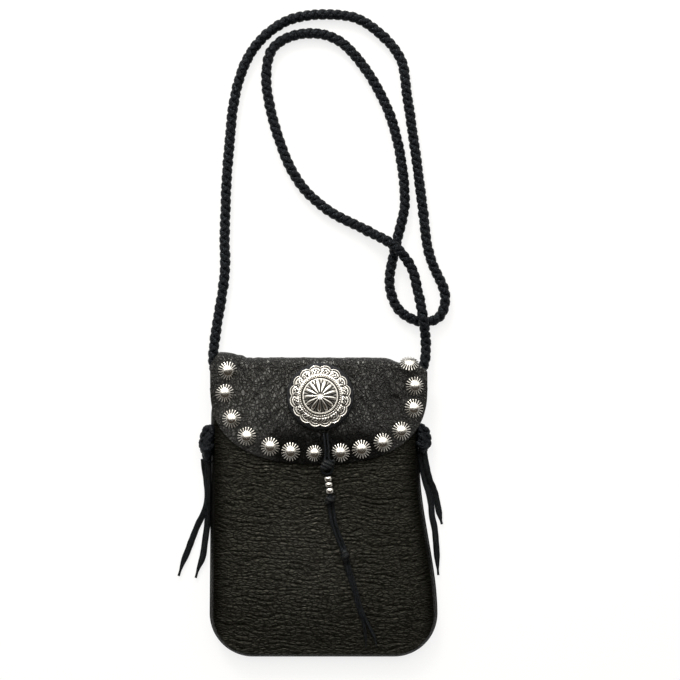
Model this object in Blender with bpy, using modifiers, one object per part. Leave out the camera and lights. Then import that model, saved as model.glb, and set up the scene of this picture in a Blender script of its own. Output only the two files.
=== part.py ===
"""A small leather medicine bag with a studded flap, a scalloped concho and a braided strap.

The bag lies on its back.  X runs across it, Y up it towards the fold, Z away from the floor.
The origin is on the flat back of the pouch, half way up.  Lengths are in metres.
"""
from math import asin, cos, hypot, pi, sin

import bmesh
import bpy
from mathutils import Matrix, Vector

# Leather and clearances
LEATHER = 0.0014
GAP = 0.0003
FLAP_GAP = 0.0004
SPLIT = 0.0005

# Outline of the pouch
BOTTOM_Y = -0.1000
CREST_Y = 0.0998
BASE_HALF_WIDTH = 0.0761
MOUTH_LEFT = -0.0748
MOUTH_RIGHT = 0.0642
CORNER_R = 0.0290
TAPER_LOW_Y = -0.0720
TAPER_HIGH_Y = 0.0300
CORNER_STEPS = 6
FLAT_STEPS = 10

# Depth of the pouch
FOLD_R = 0.0055
FOLD_STEPS = 6
FOLD_Y = CREST_Y - FOLD_R
MOUTH_DROP = 0.0118
MOUTH_Y = CREST_Y - MOUTH_DROP
MOUTH_Z = 2 * FOLD_R - LEATHER - FLAP_GAP
FRONT_INSET = 0.0032
FRONT_ROWS = 11
EDGE_RISE = 0.0012
CROWN = 0.0035
CROWN_POWER = 2.6
RAMP_LENGTH = 0.0450
FOOT_LENGTH = 0.0420

# Gusset between the back and the front
GUSSET_LOW_INSET = 0.0012
GUSSET_HIGH_INSET = 0.0042
GUSSET_TOP_Y = 0.0740
GUSSET_SIDE_STEPS = 8

# Flap
FLAP_CENTRE_X = -0.0030
FLAP_HALF_WIDTH = 0.0718
FLAP_LENGTH = 0.0702
FLAP_ROUND = 0.7108 * FLAP_LENGTH
FLAP_POWER = 2.45
FLAP_STEPS = 28
FLAP_ROWS = 10
CREST_INSET = 0.0058
CREST_EASE = 0.0100

# Fluted studs: share of the flap's edge from its lowest point to the crest, and distance in
STUD_PLACES = (
    (-0.9270, 0.0114), (-0.8022, 0.0095), (-0.6125, 0.0097), (-0.4485, 0.0086),
    (-0.2863, 0.0084), (-0.1606, 0.0075), (-0.0241, 0.0072), (0.1232, 0.0072),
    (0.2480, 0.0076), (0.3845, 0.0075), (0.5251, 0.0071), (0.7032, 0.0076),
    (0.8438, 0.0082), (0.9728, 0.0120),
)
SMALL_STUD = 7
STUD_R = 0.0064
SMALL_STUD_R = 0.0056
STUD_HEIGHT = 0.0034
STUD_LIP = 0.0007
STUD_FLUTES = 18
STUD_POST_R = 0.0009
STUD_POST = GAP + LEATHER - 0.0001
HOLE_CLEARANCE = 0.0003

# Concho, its leather disc and its screw
CONCHO_CENTRE = (-0.0020, 0.0740)
CONCHO_TILT = 0.0895
CONCHO_R = 0.0205
CONCHO_HEIGHT = 0.0062
CONCHO_SCALLOPS = 16
CONCHO_SCALLOP_DEPTH = 0.0012
CONCHO_DOME_R = 0.0125
DISC_R = 0.0223
DISC_THICKNESS = 0.0030
SCREW_R = 0.0020
SCREW_IN_CONCHO = 0.0012

# Braided strap and its end knots
STRAP_R = 0.0028
STRAP_POINTS = 80
STRAP_HOLE_Y_LEFT = 0.0440
STRAP_HOLE_Y_RIGHT = 0.0460
STRAP_HOLE_Z = 0.0052
NECK_R = 0.0018
KNOT_OFFSET = 0.0032
LEFT_KNOT_R = (0.0042, 0.0115, 0.0046)
RIGHT_KNOT_R = (0.0037, 0.0093, 0.0046)

# Laces, front knots and beads
TAIL_R = 0.0011
TAIL_POINTS = 18
LACE_R = 0.0009
LACE_SPACING = 0.0021
LACE_POINTS = 14
BUTTON_KNOT = (0.0025, 0.0269)
BUTTON_KNOT_R = (0.0023, 0.0024, 0.0038)
BUTTON_STEM_R = 0.0009
BEAD_LACE_R = 0.0008
BEAD_R = 0.0026
BEAD_BORE_R = BEAD_LACE_R + GAP
BEAD_LENGTHS = (0.0035, 0.0035, 0.0040)
BEAD_GAP = 0.0003
MIDDLE_KNOT = (0.0045, 0.0064)
MIDDLE_KNOT_R = (0.0030, 0.0033, 0.0028)
LOWER_KNOT = (0.0143, -0.0306)
LOWER_KNOT_R = (0.0033, 0.0040, 0.0027)

# The strap's route, from inside the left of the pouch round to inside its right
STRAP_ROUTE = (
    (-0.0682, 0.0449, 0.0052), (-0.0634, 0.0515, 0.0049), (-0.0630, 0.0660, 0.0046),
    (-0.0690, 0.0830, 0.0045), (-0.0732, 0.0960, 0.0043), (-0.0725, 0.1110, 0.0029),
    (-0.0658, 0.1566, 0.0029), (-0.0658, 0.1840, 0.0029), (-0.0632, 0.2364, 0.0029),
    (-0.0565, 0.2843, 0.0029), (-0.0446, 0.3082, 0.0029), (-0.0235, 0.3245, 0.0029),
    (0.0060, 0.3283, 0.0029), (0.0260, 0.3240, 0.0029), (0.0505, 0.3005, 0.0029),
    (0.0560, 0.2720, 0.0029), (0.0655, 0.2045, 0.0029), (0.0705, 0.1680, 0.0029),
    (0.0812, 0.1400, 0.0029), (0.0765, 0.1262, 0.0029), (0.0640, 0.1238, 0.0029),
    (0.0500, 0.1318, 0.0029), (0.0440, 0.1486, 0.0029), (0.0486, 0.1760, 0.0029),
    (0.0541, 0.2045, 0.0029), (0.0445, 0.2604, 0.0029), (0.0216, 0.3003, 0.0029),
    (0.0050, 0.3135, 0.0029), (-0.0170, 0.3150, 0.0029), (-0.0335, 0.3060, 0.0029),
    (-0.0382, 0.2843, 0.0029), (-0.0266, 0.2364, 0.0029), (-0.0133, 0.2125, 0.0029),
    (0.0053, 0.1965, 0.0029), (0.0285, 0.1845, 0.0040), (0.0477, 0.1730, 0.0092),
    (0.0585, 0.1590, 0.0068), (0.0628, 0.1430, 0.0068), (0.0662, 0.1247, 0.0092),
    (0.0680, 0.1110, 0.0040), (0.0672, 0.0965, 0.0045), (0.0590, 0.0790, 0.0046),
    (0.0520, 0.0650, 0.0047), (0.0526, 0.0535, 0.0049), (0.0570, 0.0478, 0.0052),
)

# Routes of the four side tails, from the knots to their pointed ends on the floor
TAIL_ROUTES = {
    "left_tail_outer": (
        (-0.0797, 0.0321, 0.0048), (-0.0795, 0.0270, 0.0024), (-0.0786, 0.0205, 0.0013),
        (-0.0776, 0.0120, 0.0013), (-0.0777, 0.0040, 0.0013), (-0.0796, -0.0030, 0.0013),
        (-0.0841, -0.0123, 0.0013), (-0.0878, -0.0216, 0.0013), (-0.0908, -0.0296, 0.0013),
        (-0.0941, -0.0376, 0.0013), (-0.0968, -0.0462, 0.0013),
    ),
    "left_tail_inner": (
        (-0.0770, 0.0321, 0.0048), (-0.0769, 0.0270, 0.0047), (-0.0769, 0.0205, 0.0040),
        (-0.0769, 0.0120, 0.0039), (-0.0770, 0.0040, 0.0036), (-0.0772, -0.0030, 0.0025),
        (-0.0776, -0.0110, 0.0013), (-0.0792, -0.0230, 0.0013), (-0.0808, -0.0336, 0.0013),
        (-0.0838, -0.0416, 0.0013), (-0.0854, -0.0475, 0.0013),
    ),
    "right_tail_inner": (
        (0.0662, 0.0364, 0.0048), (0.0668, 0.0300, 0.0024), (0.0688, 0.0183, 0.0013),
        (0.0706, 0.0103, 0.0013), (0.0718, 0.0020, 0.0013), (0.0724, -0.0060, 0.0013),
        (0.0741, -0.0140, 0.0013), (0.0752, -0.0256, 0.0013), (0.0760, -0.0376, 0.0013),
        (0.0766, -0.0456, 0.0013),
    ),
    "right_tail_outer": (
        (0.0690, 0.0364, 0.0048), (0.0695, 0.0300, 0.0040), (0.0716, 0.0183, 0.0024),
        (0.0739, 0.0110, 0.0013), (0.0755, 0.0045, 0.0013), (0.0770, -0.0030, 0.0013),
        (0.0790, -0.0116, 0.0013),
    ),
}

# Routes on the bag itself hold X and Y, and lie on the leather under them
DROP_LACE_ROUTE = ((0.0050, 0.0026), (0.0070, -0.0100), (0.0110, -0.0210), (0.0131, -0.0262))
DROP_TAIL_A_ROUTE = (
    (0.0144, -0.0352), (0.0158, -0.0409), (0.0196, -0.0535), (0.0235, -0.0675),
    (0.0258, -0.0735), (0.0272, -0.0795), (0.0282, -0.0918),
)
DROP_TAIL_B_ROUTE = (
    (0.0165, -0.0352), (0.0179, -0.0409), (0.0217, -0.0535), (0.0256, -0.0675),
    (0.0281, -0.0735), (0.0314, -0.0801), (0.0342, -0.0861), (0.0350, -0.0918),
)
LOOP_LEG_ROUTE = ((0.0003, 0.0500), (0.0010, 0.0440), (0.0015, 0.0380), (0.0014, 0.0345))
LOOP_GAP = 0.0004
LOOP_MOUTH_TURN = 0.85
LOOP_STEPS = 8
LOOP_POINTS = 36

COLOURS = {
    "black_leather": ((0.018, 0.014, 0.012), 0.55, 0.0),
    "flap_leather": ((0.026, 0.021, 0.018), 0.50, 0.0),
    "braid": ((0.009, 0.010, 0.012), 0.60, 0.0),
    "silver": ((0.70, 0.68, 0.64), 0.30, 1.0),
}


def clamp(value, low=0.0, high=1.0):
    return max(low, min(high, value))


def mix(start, end, share):
    return start + (end - start) * share


def smooth(share):
    share = clamp(share)
    return share * share * (3 - 2 * share)


# Outline and height of the bag


def left_edge(y):
    side_start = BOTTOM_Y + CORNER_R
    return mix(-BASE_HALF_WIDTH, MOUTH_LEFT, clamp((y - side_start) / (FOLD_Y - side_start)))


def right_edge(y):
    share = smooth((y - TAPER_LOW_Y) / (TAPER_HIGH_Y - TAPER_LOW_Y))
    return mix(BASE_HALF_WIDTH, MOUTH_RIGHT, share)


def foot_points(inset):
    """The round corners and the flat bottom, from the left side to the right side."""
    side_start = BOTTOM_Y + CORNER_R
    radius = CORNER_R - inset
    left = left_edge(side_start) + CORNER_R
    right = right_edge(side_start) - CORNER_R
    turns = [pi / 2 * step / CORNER_STEPS for step in range(CORNER_STEPS + 1)]
    points = [(left - radius * cos(turn), side_start - radius * sin(turn)) for turn in turns]
    for step in range(1, FLAT_STEPS):
        points.append((mix(left, right, step / FLAT_STEPS), side_start - radius))
    points += [(right + radius * sin(turn), side_start - radius * cos(turn)) for turn in turns]
    return points


def across(x, y, inset):
    """Where x lies between the two inset sides at height y, from -1 to 1."""
    low = left_edge(y) + inset
    high = right_edge(y) - inset
    return clamp((2 * x - low - high) / (high - low), -1, 1)


def front_height(x, y):
    """Height of the front panel's outer face."""
    ramp = clamp((MOUTH_Y - y) / RAMP_LENGTH)
    foot = smooth((y - BOTTOM_Y - FRONT_INSET) / FOOT_LENGTH)
    crown = CROWN * (1 - abs(across(x, y, FRONT_INSET)) ** CROWN_POWER) * foot
    return MOUTH_Z + ramp * (EDGE_RISE + crown)


def flap_height(x, y):
    """Height of the flap's outer face, in front of its fold."""
    return front_height(x, min(y, MOUTH_Y)) + FLAP_GAP + LEATHER


def flap_face(x, y):
    """Point on the flap's outer face above (x, y), and the direction that it faces."""
    if y > FOLD_Y:
        turn = asin(clamp((y - FOLD_Y) / FOLD_R))
        return Vector((x, y, FOLD_R + FOLD_R * cos(turn))), Vector((0, sin(turn), cos(turn)))
    step = STUD_R / 2
    slope_x = (flap_height(x + step, y) - flap_height(x - step, y)) / (2 * step)
    slope_y = (flap_height(x, min(y + step, FOLD_Y)) - flap_height(x, y - step)) / (2 * step)
    return Vector((x, y, flap_height(x, y))), Vector((-slope_x, -slope_y, 1)).normalized()


def crest_inset(distance):
    """How much narrower the folded sheet is, at a distance along it from the crest."""
    fold_length = FOLD_R * pi / 2
    return CREST_INSET * (1 - smooth((distance - fold_length) / CREST_EASE))


# Objects, materials and modifiers


def remove_everything():
    for scene_object in list(bpy.data.objects):
        bpy.data.objects.remove(scene_object, do_unlink=True)


def make_collection(name):
    collection = bpy.data.collections.new(name)
    bpy.context.scene.collection.children.link(collection)
    return collection


def make_materials():
    materials = {}
    for name, (colour, roughness, metallic) in COLOURS.items():
        material = bpy.data.materials.new(name)
        material.use_nodes = True
        shader = material.node_tree.nodes["Principled BSDF"]
        shader.inputs["Base Color"].default_value = (*colour, 1)
        shader.inputs["Roughness"].default_value = roughness
        shader.inputs["Metallic"].default_value = metallic
        materials[name] = material
    return materials


remove_everything()
BAG = make_collection("beaded_medicine_bag")
CUTTERS = make_collection("cutters")
MATERIALS = make_materials()


def add_object(name, data, material, collection=BAG):
    new_object = bpy.data.objects.new(name, data)
    collection.objects.link(new_object)
    if material:
        data.materials.append(MATERIALS[material])
    return new_object


def object_from_bmesh(name, shape, material, collection=BAG):
    bmesh.ops.recalc_face_normals(shape, faces=shape.faces)
    mesh = bpy.data.meshes.new(name)
    shape.to_mesh(mesh)
    shape.free()
    return add_object(name, mesh, material, collection)


def sheet(name, grid, material, top_up=True):
    """A leather sheet whose middle surface is a grid of points, rows by columns."""
    shape = bmesh.new()
    rows = [[shape.verts.new(point) for point in row] for row in grid]
    for low, high in zip(rows, rows[1:]):
        for column in range(len(low) - 1):
            corners = (low[column], low[column + 1], high[column + 1], high[column])
            shape.faces.new(corners if top_up else corners[::-1])
    mesh = bpy.data.meshes.new(name)
    shape.to_mesh(mesh)
    shape.free()
    piece = add_object(name, mesh, material)
    wall = piece.modifiers.new("leather", "SOLIDIFY")
    wall.thickness = LEATHER
    wall.offset = 0
    wall.use_even_offset = True
    return piece


def turned(name, profile, material, segments, collection=BAG):
    """A turned piece from (radius, height) pairs that run down its outer side."""
    mesh = bpy.data.meshes.new(name)
    edges = [(index, index + 1) for index in range(len(profile) - 1)]
    mesh.from_pydata([(radius, 0, height) for radius, height in profile], edges, [])
    piece = add_object(name, mesh, material, collection)
    screw = piece.modifiers.new("turn", "SCREW")
    screw.steps = segments
    screw.render_steps = segments
    screw.use_merge_vertices = True
    screw.merge_threshold = 0.00001
    return piece


def fluted(name, rings, material, segments):
    """A turned piece with a flat base.  Each ring has a radius, a height and perhaps a wave."""
    shape = bmesh.new()
    loops = []
    for radius, height, wave in rings:
        if radius == 0:
            loops.append([shape.verts.new((0, 0, height))])
            continue
        loop = []
        for index in range(segments):
            turn = 2 * pi * index / segments
            push, drop = wave(index) if wave else (0, 0)
            reach = radius - push
            loop.append(shape.verts.new((reach * cos(turn), reach * sin(turn), height - drop)))
        loops.append(loop)
    for upper, lower in zip(loops, loops[1:]):
        for index in range(segments):
            following = (index + 1) % segments
            corners = [upper[index % len(upper)], lower[index % len(lower)]]
            if len(lower) > 1:
                corners.append(lower[following])
            if len(upper) > 1:
                corners.append(upper[following])
            shape.faces.new(corners)
    shape.faces.new(loops[-1])
    return object_from_bmesh(name, shape, material)


def smooth_route(points, count):
    """Points evenly spaced along a smooth curve through a route."""
    route = [Vector(point) for point in points]
    padded = [2 * route[0] - route[1]] + route + [2 * route[-1] - route[-2]]
    fine = []
    for before, start, end, after in zip(padded, padded[1:], padded[2:], padded[3:]):
        first = (start - before).length ** 0.5
        second = first + (end - start).length ** 0.5
        third = second + (after - end).length ** 0.5
        for step in range(16):
            place = mix(first, second, step / 16)
            a1 = start.lerp(before, (first - place) / first)
            a2 = start.lerp(end, (place - first) / (second - first))
            a3 = end.lerp(after, (place - second) / (third - second))
            b1 = a1.lerp(a2, place / second)
            b2 = a2.lerp(a3, (place - first) / (third - first))
            fine.append(b1.lerp(b2, (place - first) / (second - first)))
    fine.append(route[-1])
    reach = [0.0]
    for start, end in zip(fine, fine[1:]):
        reach.append(reach[-1] + (end - start).length)
    spaced = []
    index = 0
    for step in range(count):
        target = reach[-1] * step / (count - 1)
        while index < len(reach) - 2 and reach[index + 1] < target:
            index += 1
        share = (target - reach[index]) / (reach[index + 1] - reach[index])
        spaced.append(fine[index].lerp(fine[index + 1], clamp(share)))
    return spaced


def tube(name, points, radius, material, resolution=2):
    """A round lace or cord along a list of points."""
    curve = bpy.data.curves.new(name, "CURVE")
    curve.dimensions = "3D"
    curve.bevel_depth = radius
    curve.bevel_resolution = resolution
    curve.use_fill_caps = True
    spline = curve.splines.new("POLY")
    spline.points.add(len(points) - 1)
    for spline_point, point in zip(spline.points, points):
        spline_point.co = (*point, 1)
    return add_object(name, curve, material)


def ball(name, centre, radii, material, segments=14, rings=9):
    shape = bmesh.new()
    bmesh.ops.create_uvsphere(shape, u_segments=segments, v_segments=rings, radius=1)
    bmesh.ops.scale(shape, vec=radii, verts=shape.verts)
    piece = object_from_bmesh(name, shape, material)
    piece.location = centre
    return piece


def rod_cutter(name, rods, radius, length, segments=12):
    """Round rods that cut holes: each is a centre and a direction."""
    shape = bmesh.new()
    for centre, direction in rods:
        place = Matrix.Translation(centre) @ direction.to_track_quat("Z", "Y").to_matrix().to_4x4()
        bmesh.ops.create_cone(
            shape, cap_ends=True, segments=segments, radius1=radius, radius2=radius,
            depth=length, matrix=place)
    cutter = object_from_bmesh(name, shape, None, CUTTERS)
    cutter.hide_render = True
    cutter.display_type = "WIRE"
    return cutter


def combine(piece, cutter, operation="DIFFERENCE"):
    boolean = piece.modifiers.new(cutter.name, "BOOLEAN")
    boolean.operation = operation
    boolean.solver = "EXACT"
    boolean.object = cutter


def stand_on(piece, place, direction):
    piece.location = place
    piece.rotation_euler = direction.to_track_quat("Z", "Y").to_euler()


def soften(piece, angle=40):
    """Round pieces are shaded smooth, with their sharp edges kept."""
    piece.data.shade_smooth()
    piece.data.set_sharp_from_angle(angle=angle * pi / 180)


# Pouch


def fold_points(x_at, start_turn, end_turn):
    """Rows of the fold, between two turns measured from the crest."""
    middle_r = FOLD_R - LEATHER / 2
    rows = []
    for step in range(FOLD_STEPS + 1):
        turn = mix(start_turn, end_turn, step / FOLD_STEPS)
        place = (FOLD_Y + middle_r * cos(turn), FOLD_R + middle_r * sin(turn))
        rows.append([(x, *place) for x in x_at(FOLD_R * abs(turn))])
    return rows


def make_back_panel():
    """The pouch's back, up to the crest of the fold, where the flap goes on."""
    feet = foot_points(0)
    side_start = BOTTOM_Y + CORNER_R
    low, high = left_edge(side_start), right_edge(side_start)
    shares = [(x - low) / (high - low) for x, y in feet]
    arc_length = FOLD_R * pi / 2
    grid = []
    for level in (0, 0.25, 0.5, 0.75, 0.9, 0.95):
        row = []
        for share, (foot_x, foot_y) in zip(shares, feet):
            y = mix(foot_y, FOLD_Y, level)
            inset = crest_inset(FOLD_Y - y + arc_length)
            row.append((mix(left_edge(y) + inset, right_edge(y) - inset, share), y, LEATHER / 2))
        grid.append(row)

    def fold_x(distance):
        ends = (left_edge(FOLD_Y) + CREST_INSET, FLAP_CENTRE_X + FLAP_HALF_WIDTH - CREST_INSET)
        return [mix(*ends, share) for share in shares]

    middle_r = FOLD_R - LEATHER / 2
    grid += fold_points(fold_x, -pi / 2, -SPLIT / 2 / middle_r)
    return sheet("back_panel", grid, "black_leather")


def make_front_panel():
    """The pouch's front: a crowned sheet from the foot to the mouth under the flap."""
    feet = foot_points(FRONT_INSET)
    low, high = feet[0][0], feet[-1][0]
    grid = []
    for row_index in range(FRONT_ROWS + 1):
        level = (row_index / FRONT_ROWS) ** 1.3
        row = []
        for foot_x, foot_y in feet:
            share = (foot_x - low) / (high - low)
            y = mix(foot_y, MOUTH_Y, level)
            x = mix(left_edge(y) + FRONT_INSET, right_edge(y) - FRONT_INSET, share)
            row.append((x, y, front_height(x, y) - LEATHER / 2))
        grid.append(row)
    panel = sheet("front_panel", grid, "black_leather")
    place = Vector((*BUTTON_KNOT, front_height(*BUTTON_KNOT)))
    hole_r = BUTTON_STEM_R + HOLE_CLEARANCE
    combine(panel, rod_cutter("stem_hole", [(place, Vector((0, 0, 1)))], hole_r, 4 * LEATHER))
    return panel


def gusset_section(low, high, outward):
    """Four corners of the gusset: two on the back panel, two under the front panel."""
    top = front_height(high[0], high[1]) - LEATHER - GAP
    half = LEATHER / 2
    base = LEATHER + GAP
    corners = []
    for (x, y), side, z in ((low, 1, base), (low, -1, base), (high, -1, top), (high, 1, top)):
        corners.append((x + side * half * outward[0], y + side * half * outward[1], z))
    return corners


def gusset_path(inset):
    feet = foot_points(inset)
    start = feet[0][1]
    path = []
    for step in range(GUSSET_SIDE_STEPS):
        y = mix(GUSSET_TOP_Y, start, step / GUSSET_SIDE_STEPS)
        path.append((left_edge(y) + inset, y))
    path += feet
    for step in range(1, GUSSET_SIDE_STEPS + 1):
        y = mix(start, GUSSET_TOP_Y, step / GUSSET_SIDE_STEPS)
        path.append((right_edge(y) - inset, y))
    return path


def make_gusset():
    """The strip that joins back and front down both sides and round the foot."""
    low_path = gusset_path(GUSSET_LOW_INSET)
    high_path = gusset_path(GUSSET_HIGH_INSET)
    shape = bmesh.new()
    loops = []
    for index, (low, high) in enumerate(zip(low_path, high_path)):
        before = low_path[max(index - 1, 0)]
        after = low_path[min(index + 1, len(low_path) - 1)]
        along = (after[0] - before[0], after[1] - before[1])
        length = hypot(*along)
        outward = (along[1] / length, -along[0] / length)
        section = gusset_section(low, high, outward)
        loops.append([shape.verts.new(corner) for corner in section])
    for start, end in zip(loops, loops[1:]):
        for index in range(4):
            following = (index + 1) % 4
            shape.faces.new((start[index], start[following], end[following], end[index]))
    shape.faces.new(loops[0])
    shape.faces.new(loops[-1][::-1])
    gusset = object_from_bmesh("gusset", shape, "black_leather")
    sideways = Vector((1, 0, 0))
    rods = [
        (Vector((left_edge(STRAP_HOLE_Y_LEFT), STRAP_HOLE_Y_LEFT, STRAP_HOLE_Z)), sideways),
        (Vector((right_edge(STRAP_HOLE_Y_RIGHT), STRAP_HOLE_Y_RIGHT, STRAP_HOLE_Z)), sideways),
    ]
    hole_r = NECK_R + HOLE_CLEARANCE
    combine(gusset, rod_cutter("strap_holes", rods, hole_r, 4 * GUSSET_HIGH_INSET))
    return gusset


# Strap, side knots and tails


def make_side_knot(name, side, edge_x, hole_y, radii):
    """A knot beside the pouch, with the neck of the braid that comes through the gusset."""
    centre = Vector((edge_x + side * KNOT_OFFSET, hole_y, radii[2] + GAP))
    knot = ball(name, centre, radii, "braid")
    neck_end = edge_x - side * (GUSSET_HIGH_INSET + LEATHER / 2)
    neck_length = abs(neck_end - centre.x)
    middle = Vector(((neck_end + centre.x) / 2, hole_y, STRAP_HOLE_Z))
    neck = rod_cutter(name + "_neck", [(middle, Vector((1, 0, 0)))], NECK_R, neck_length)
    combine(knot, neck, "UNION")
    return knot


def make_strap():
    tube("shoulder_strap", smooth_route(STRAP_ROUTE, STRAP_POINTS), STRAP_R, "braid")
    left_x = left_edge(STRAP_HOLE_Y_LEFT)
    right_x = right_edge(STRAP_HOLE_Y_RIGHT)
    make_side_knot("strap_knot_left", -1, left_x, STRAP_HOLE_Y_LEFT, LEFT_KNOT_R)
    make_side_knot("strap_knot_right", 1, right_x, STRAP_HOLE_Y_RIGHT, RIGHT_KNOT_R)
    for name, route in TAIL_ROUTES.items():
        tube(name, smooth_route(route, TAIL_POINTS), TAIL_R, "braid")


# Flap


def flap_columns():
    """Across the flap: each column's x as a share from -1 to 1, and the y of its lower end."""
    columns = []
    for step in range(FLAP_STEPS + 1):
        turn = pi * step / FLAP_STEPS
        share = -abs(cos(turn)) ** (2 / FLAP_POWER)
        if turn > pi / 2:
            share = -share
        low = CREST_Y - FLAP_LENGTH + FLAP_ROUND * (1 - abs(sin(turn)) ** (2 / FLAP_POWER))
        columns.append((share, low))
    return columns


def flap_rim(share):
    """Point on the flap's edge, as a share of the way from its lowest point to the crest."""
    rim = []
    for step in range(361):
        turn = pi / 2 * (1 - step / 360)
        x = FLAP_HALF_WIDTH * abs(cos(turn)) ** (2 / FLAP_POWER)
        y = CREST_Y - FLAP_LENGTH + FLAP_ROUND * (1 - sin(turn) ** (2 / FLAP_POWER))
        rim.append(Vector((x, y)))
    rim.append(Vector((FLAP_HALF_WIDTH, CREST_Y)))
    left = abs(share) * sum((end - start).length for start, end in zip(rim, rim[1:]))
    for start, end in zip(rim, rim[1:]):
        length = (end - start).length
        if left <= length:
            break
        left -= length
    along = (end - start).normalized()
    point = start + along * left
    inward = Vector((-along.y, along.x))
    if share < 0:
        point.x = -point.x
        inward.x = -inward.x
    point.x += FLAP_CENTRE_X
    return point, inward


def stud_faces():
    """Where each stud sits on the flap, and the direction that it faces."""
    faces = []
    for share, inset in STUD_PLACES:
        point, inward = flap_rim(share)
        place = point + inward * inset
        faces.append(flap_face(place.x, place.y))
    return faces


def concho_axis():
    """The concho's centre on the flap and its direction: the disc bridges the flap's slope."""
    x, y = CONCHO_CENTRE
    direction = Vector((0, sin(CONCHO_TILT), cos(CONCHO_TILT)))
    rest = 0
    for low_y in (y - DISC_R, y, min(y + DISC_R, FOLD_Y)):
        face = flap_height(x, low_y) + (low_y - y) * sin(CONCHO_TILT) / cos(CONCHO_TILT)
        rest = max(rest, face)
    return Vector((x, y, rest)), direction


def make_flap(studs, concho):
    columns = flap_columns()
    arc_length = FOLD_R * pi / 2
    middle_r = FOLD_R - LEATHER / 2

    def fold_x(distance):
        half = FLAP_HALF_WIDTH - CREST_INSET
        return [FLAP_CENTRE_X + half * share for share, low in columns]

    grid = fold_points(fold_x, SPLIT / 2 / middle_r, pi / 2)
    for row_index in range(1, FLAP_ROWS + 1):
        row = []
        for share, low in columns:
            y = mix(FOLD_Y, low, row_index / FLAP_ROWS)
            half = FLAP_HALF_WIDTH - crest_inset(FOLD_Y - y + arc_length)
            x = FLAP_CENTRE_X + half * share
            row.append((x, y, flap_height(x, y) - LEATHER / 2))
        grid.append(row)
    flap = sheet("flap", grid, "flap_leather", top_up=False)
    post_hole = STUD_POST_R + HOLE_CLEARANCE
    combine(flap, rod_cutter("stud_holes", studs, post_hole, 4 * LEATHER))
    screw_hole = SCREW_R + HOLE_CLEARANCE
    combine(flap, rod_cutter("screw_hole", [concho], screw_hole, 8 * LEATHER, 16))
    return flap


def make_stud(number, face, direction):
    """A domed spot with radial flutes and a post clinched in the flap."""
    radius = SMALL_STUD_R if number == SMALL_STUD else STUD_R
    height = STUD_HEIGHT * radius / STUD_R

    def flute(push, drop):
        return lambda index: (push, drop) if index % 2 else (0, 0)

    rings = (
        (0, height, None),
        (radius * 0.55, height * 0.76, flute(0, height * 0.08)),
        (radius * 0.88, height * 0.40, flute(0, height * 0.12)),
        (radius, STUD_LIP, flute(radius * 0.04, 0)),
        (radius, 0, flute(radius * 0.04, 0)),
    )
    stud = fluted(f"stud_{number:02d}", rings, "silver", 2 * STUD_FLUTES)
    rod = [(Vector(), Vector((0, 0, 1)))]
    post = rod_cutter(f"post_{number:02d}", rod, STUD_POST_R, 2 * STUD_POST, 8)
    combine(stud, post, "UNION")
    for piece in (stud, post):
        stand_on(piece, face + direction * GAP, direction)
    return stud, post


def make_concho(face, direction):
    """A scalloped plate with a beaded ring round a petalled dome, and a hole for the screw."""
    segments = 6 * CONCHO_SCALLOPS

    def scallop(index):
        turn = abs(sin(pi * index / 6))
        return CONCHO_SCALLOP_DEPTH * (1 - turn ** 0.7), 0

    def petal(drop):
        return lambda index: (0, drop * abs(cos(pi * index / 6)))

    rim = CONCHO_R
    dome = CONCHO_DOME_R
    high = CONCHO_HEIGHT
    rings = (
        (0, high, None),
        (dome * 0.12, high * 0.99, None),
        (dome * 0.45, high * 0.93, petal(high * 0.05)),
        (dome * 0.80, high * 0.76, petal(high * 0.09)),
        (dome * 0.88, high * 0.60, None),
        (dome * 0.97, high * 0.62, None),
        (dome * 1.06, high * 0.50, None),
        (rim * 0.76, high * 0.42, None),
        (rim * 0.90, high * 0.32, None),
        (rim, high * 0.22, scallop),
        (rim, 0, scallop),
    )
    concho = fluted("concho", rings, "silver", segments)
    deep = 2 * (SCREW_IN_CONCHO + GAP)
    rod = [(Vector(), Vector((0, 0, 1)))]
    hole = rod_cutter("concho_hole", rod, SCREW_R + HOLE_CLEARANCE, deep, 16)
    combine(concho, hole)
    for piece in (concho, hole):
        stand_on(piece, face + direction * (2 * GAP + DISC_THICKNESS), direction)
    return concho, hole


def make_concho_fixing(face, direction):
    """The thick leather disc behind the concho, and the screw through disc and flap."""
    bore = SCREW_R + HOLE_CLEARANCE
    thick = DISC_THICKNESS
    edge = thick * 0.15
    profile = (
        (bore, thick), (DISC_R - edge, thick), (DISC_R, thick - edge),
        (DISC_R, edge), (DISC_R - edge, 0), (bore, 0), (bore, thick),
    )
    disc = turned("concho_backing", profile, "black_leather", 48)
    stand_on(disc, face + direction * GAP, direction)
    top = 2 * GAP + thick + SCREW_IN_CONCHO
    bottom = -LEATHER
    shank = ((0, top), (SCREW_R, top), (SCREW_R, bottom), (0, bottom))
    screw = turned("concho_screw", shank, "silver", 16)
    stand_on(screw, face, direction)
    return disc, screw


# Closing loop, knots, beads and drop laces


def on_front(x, y, lift):
    return Vector((x, y, front_height(x, y) + GAP + lift))


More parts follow.
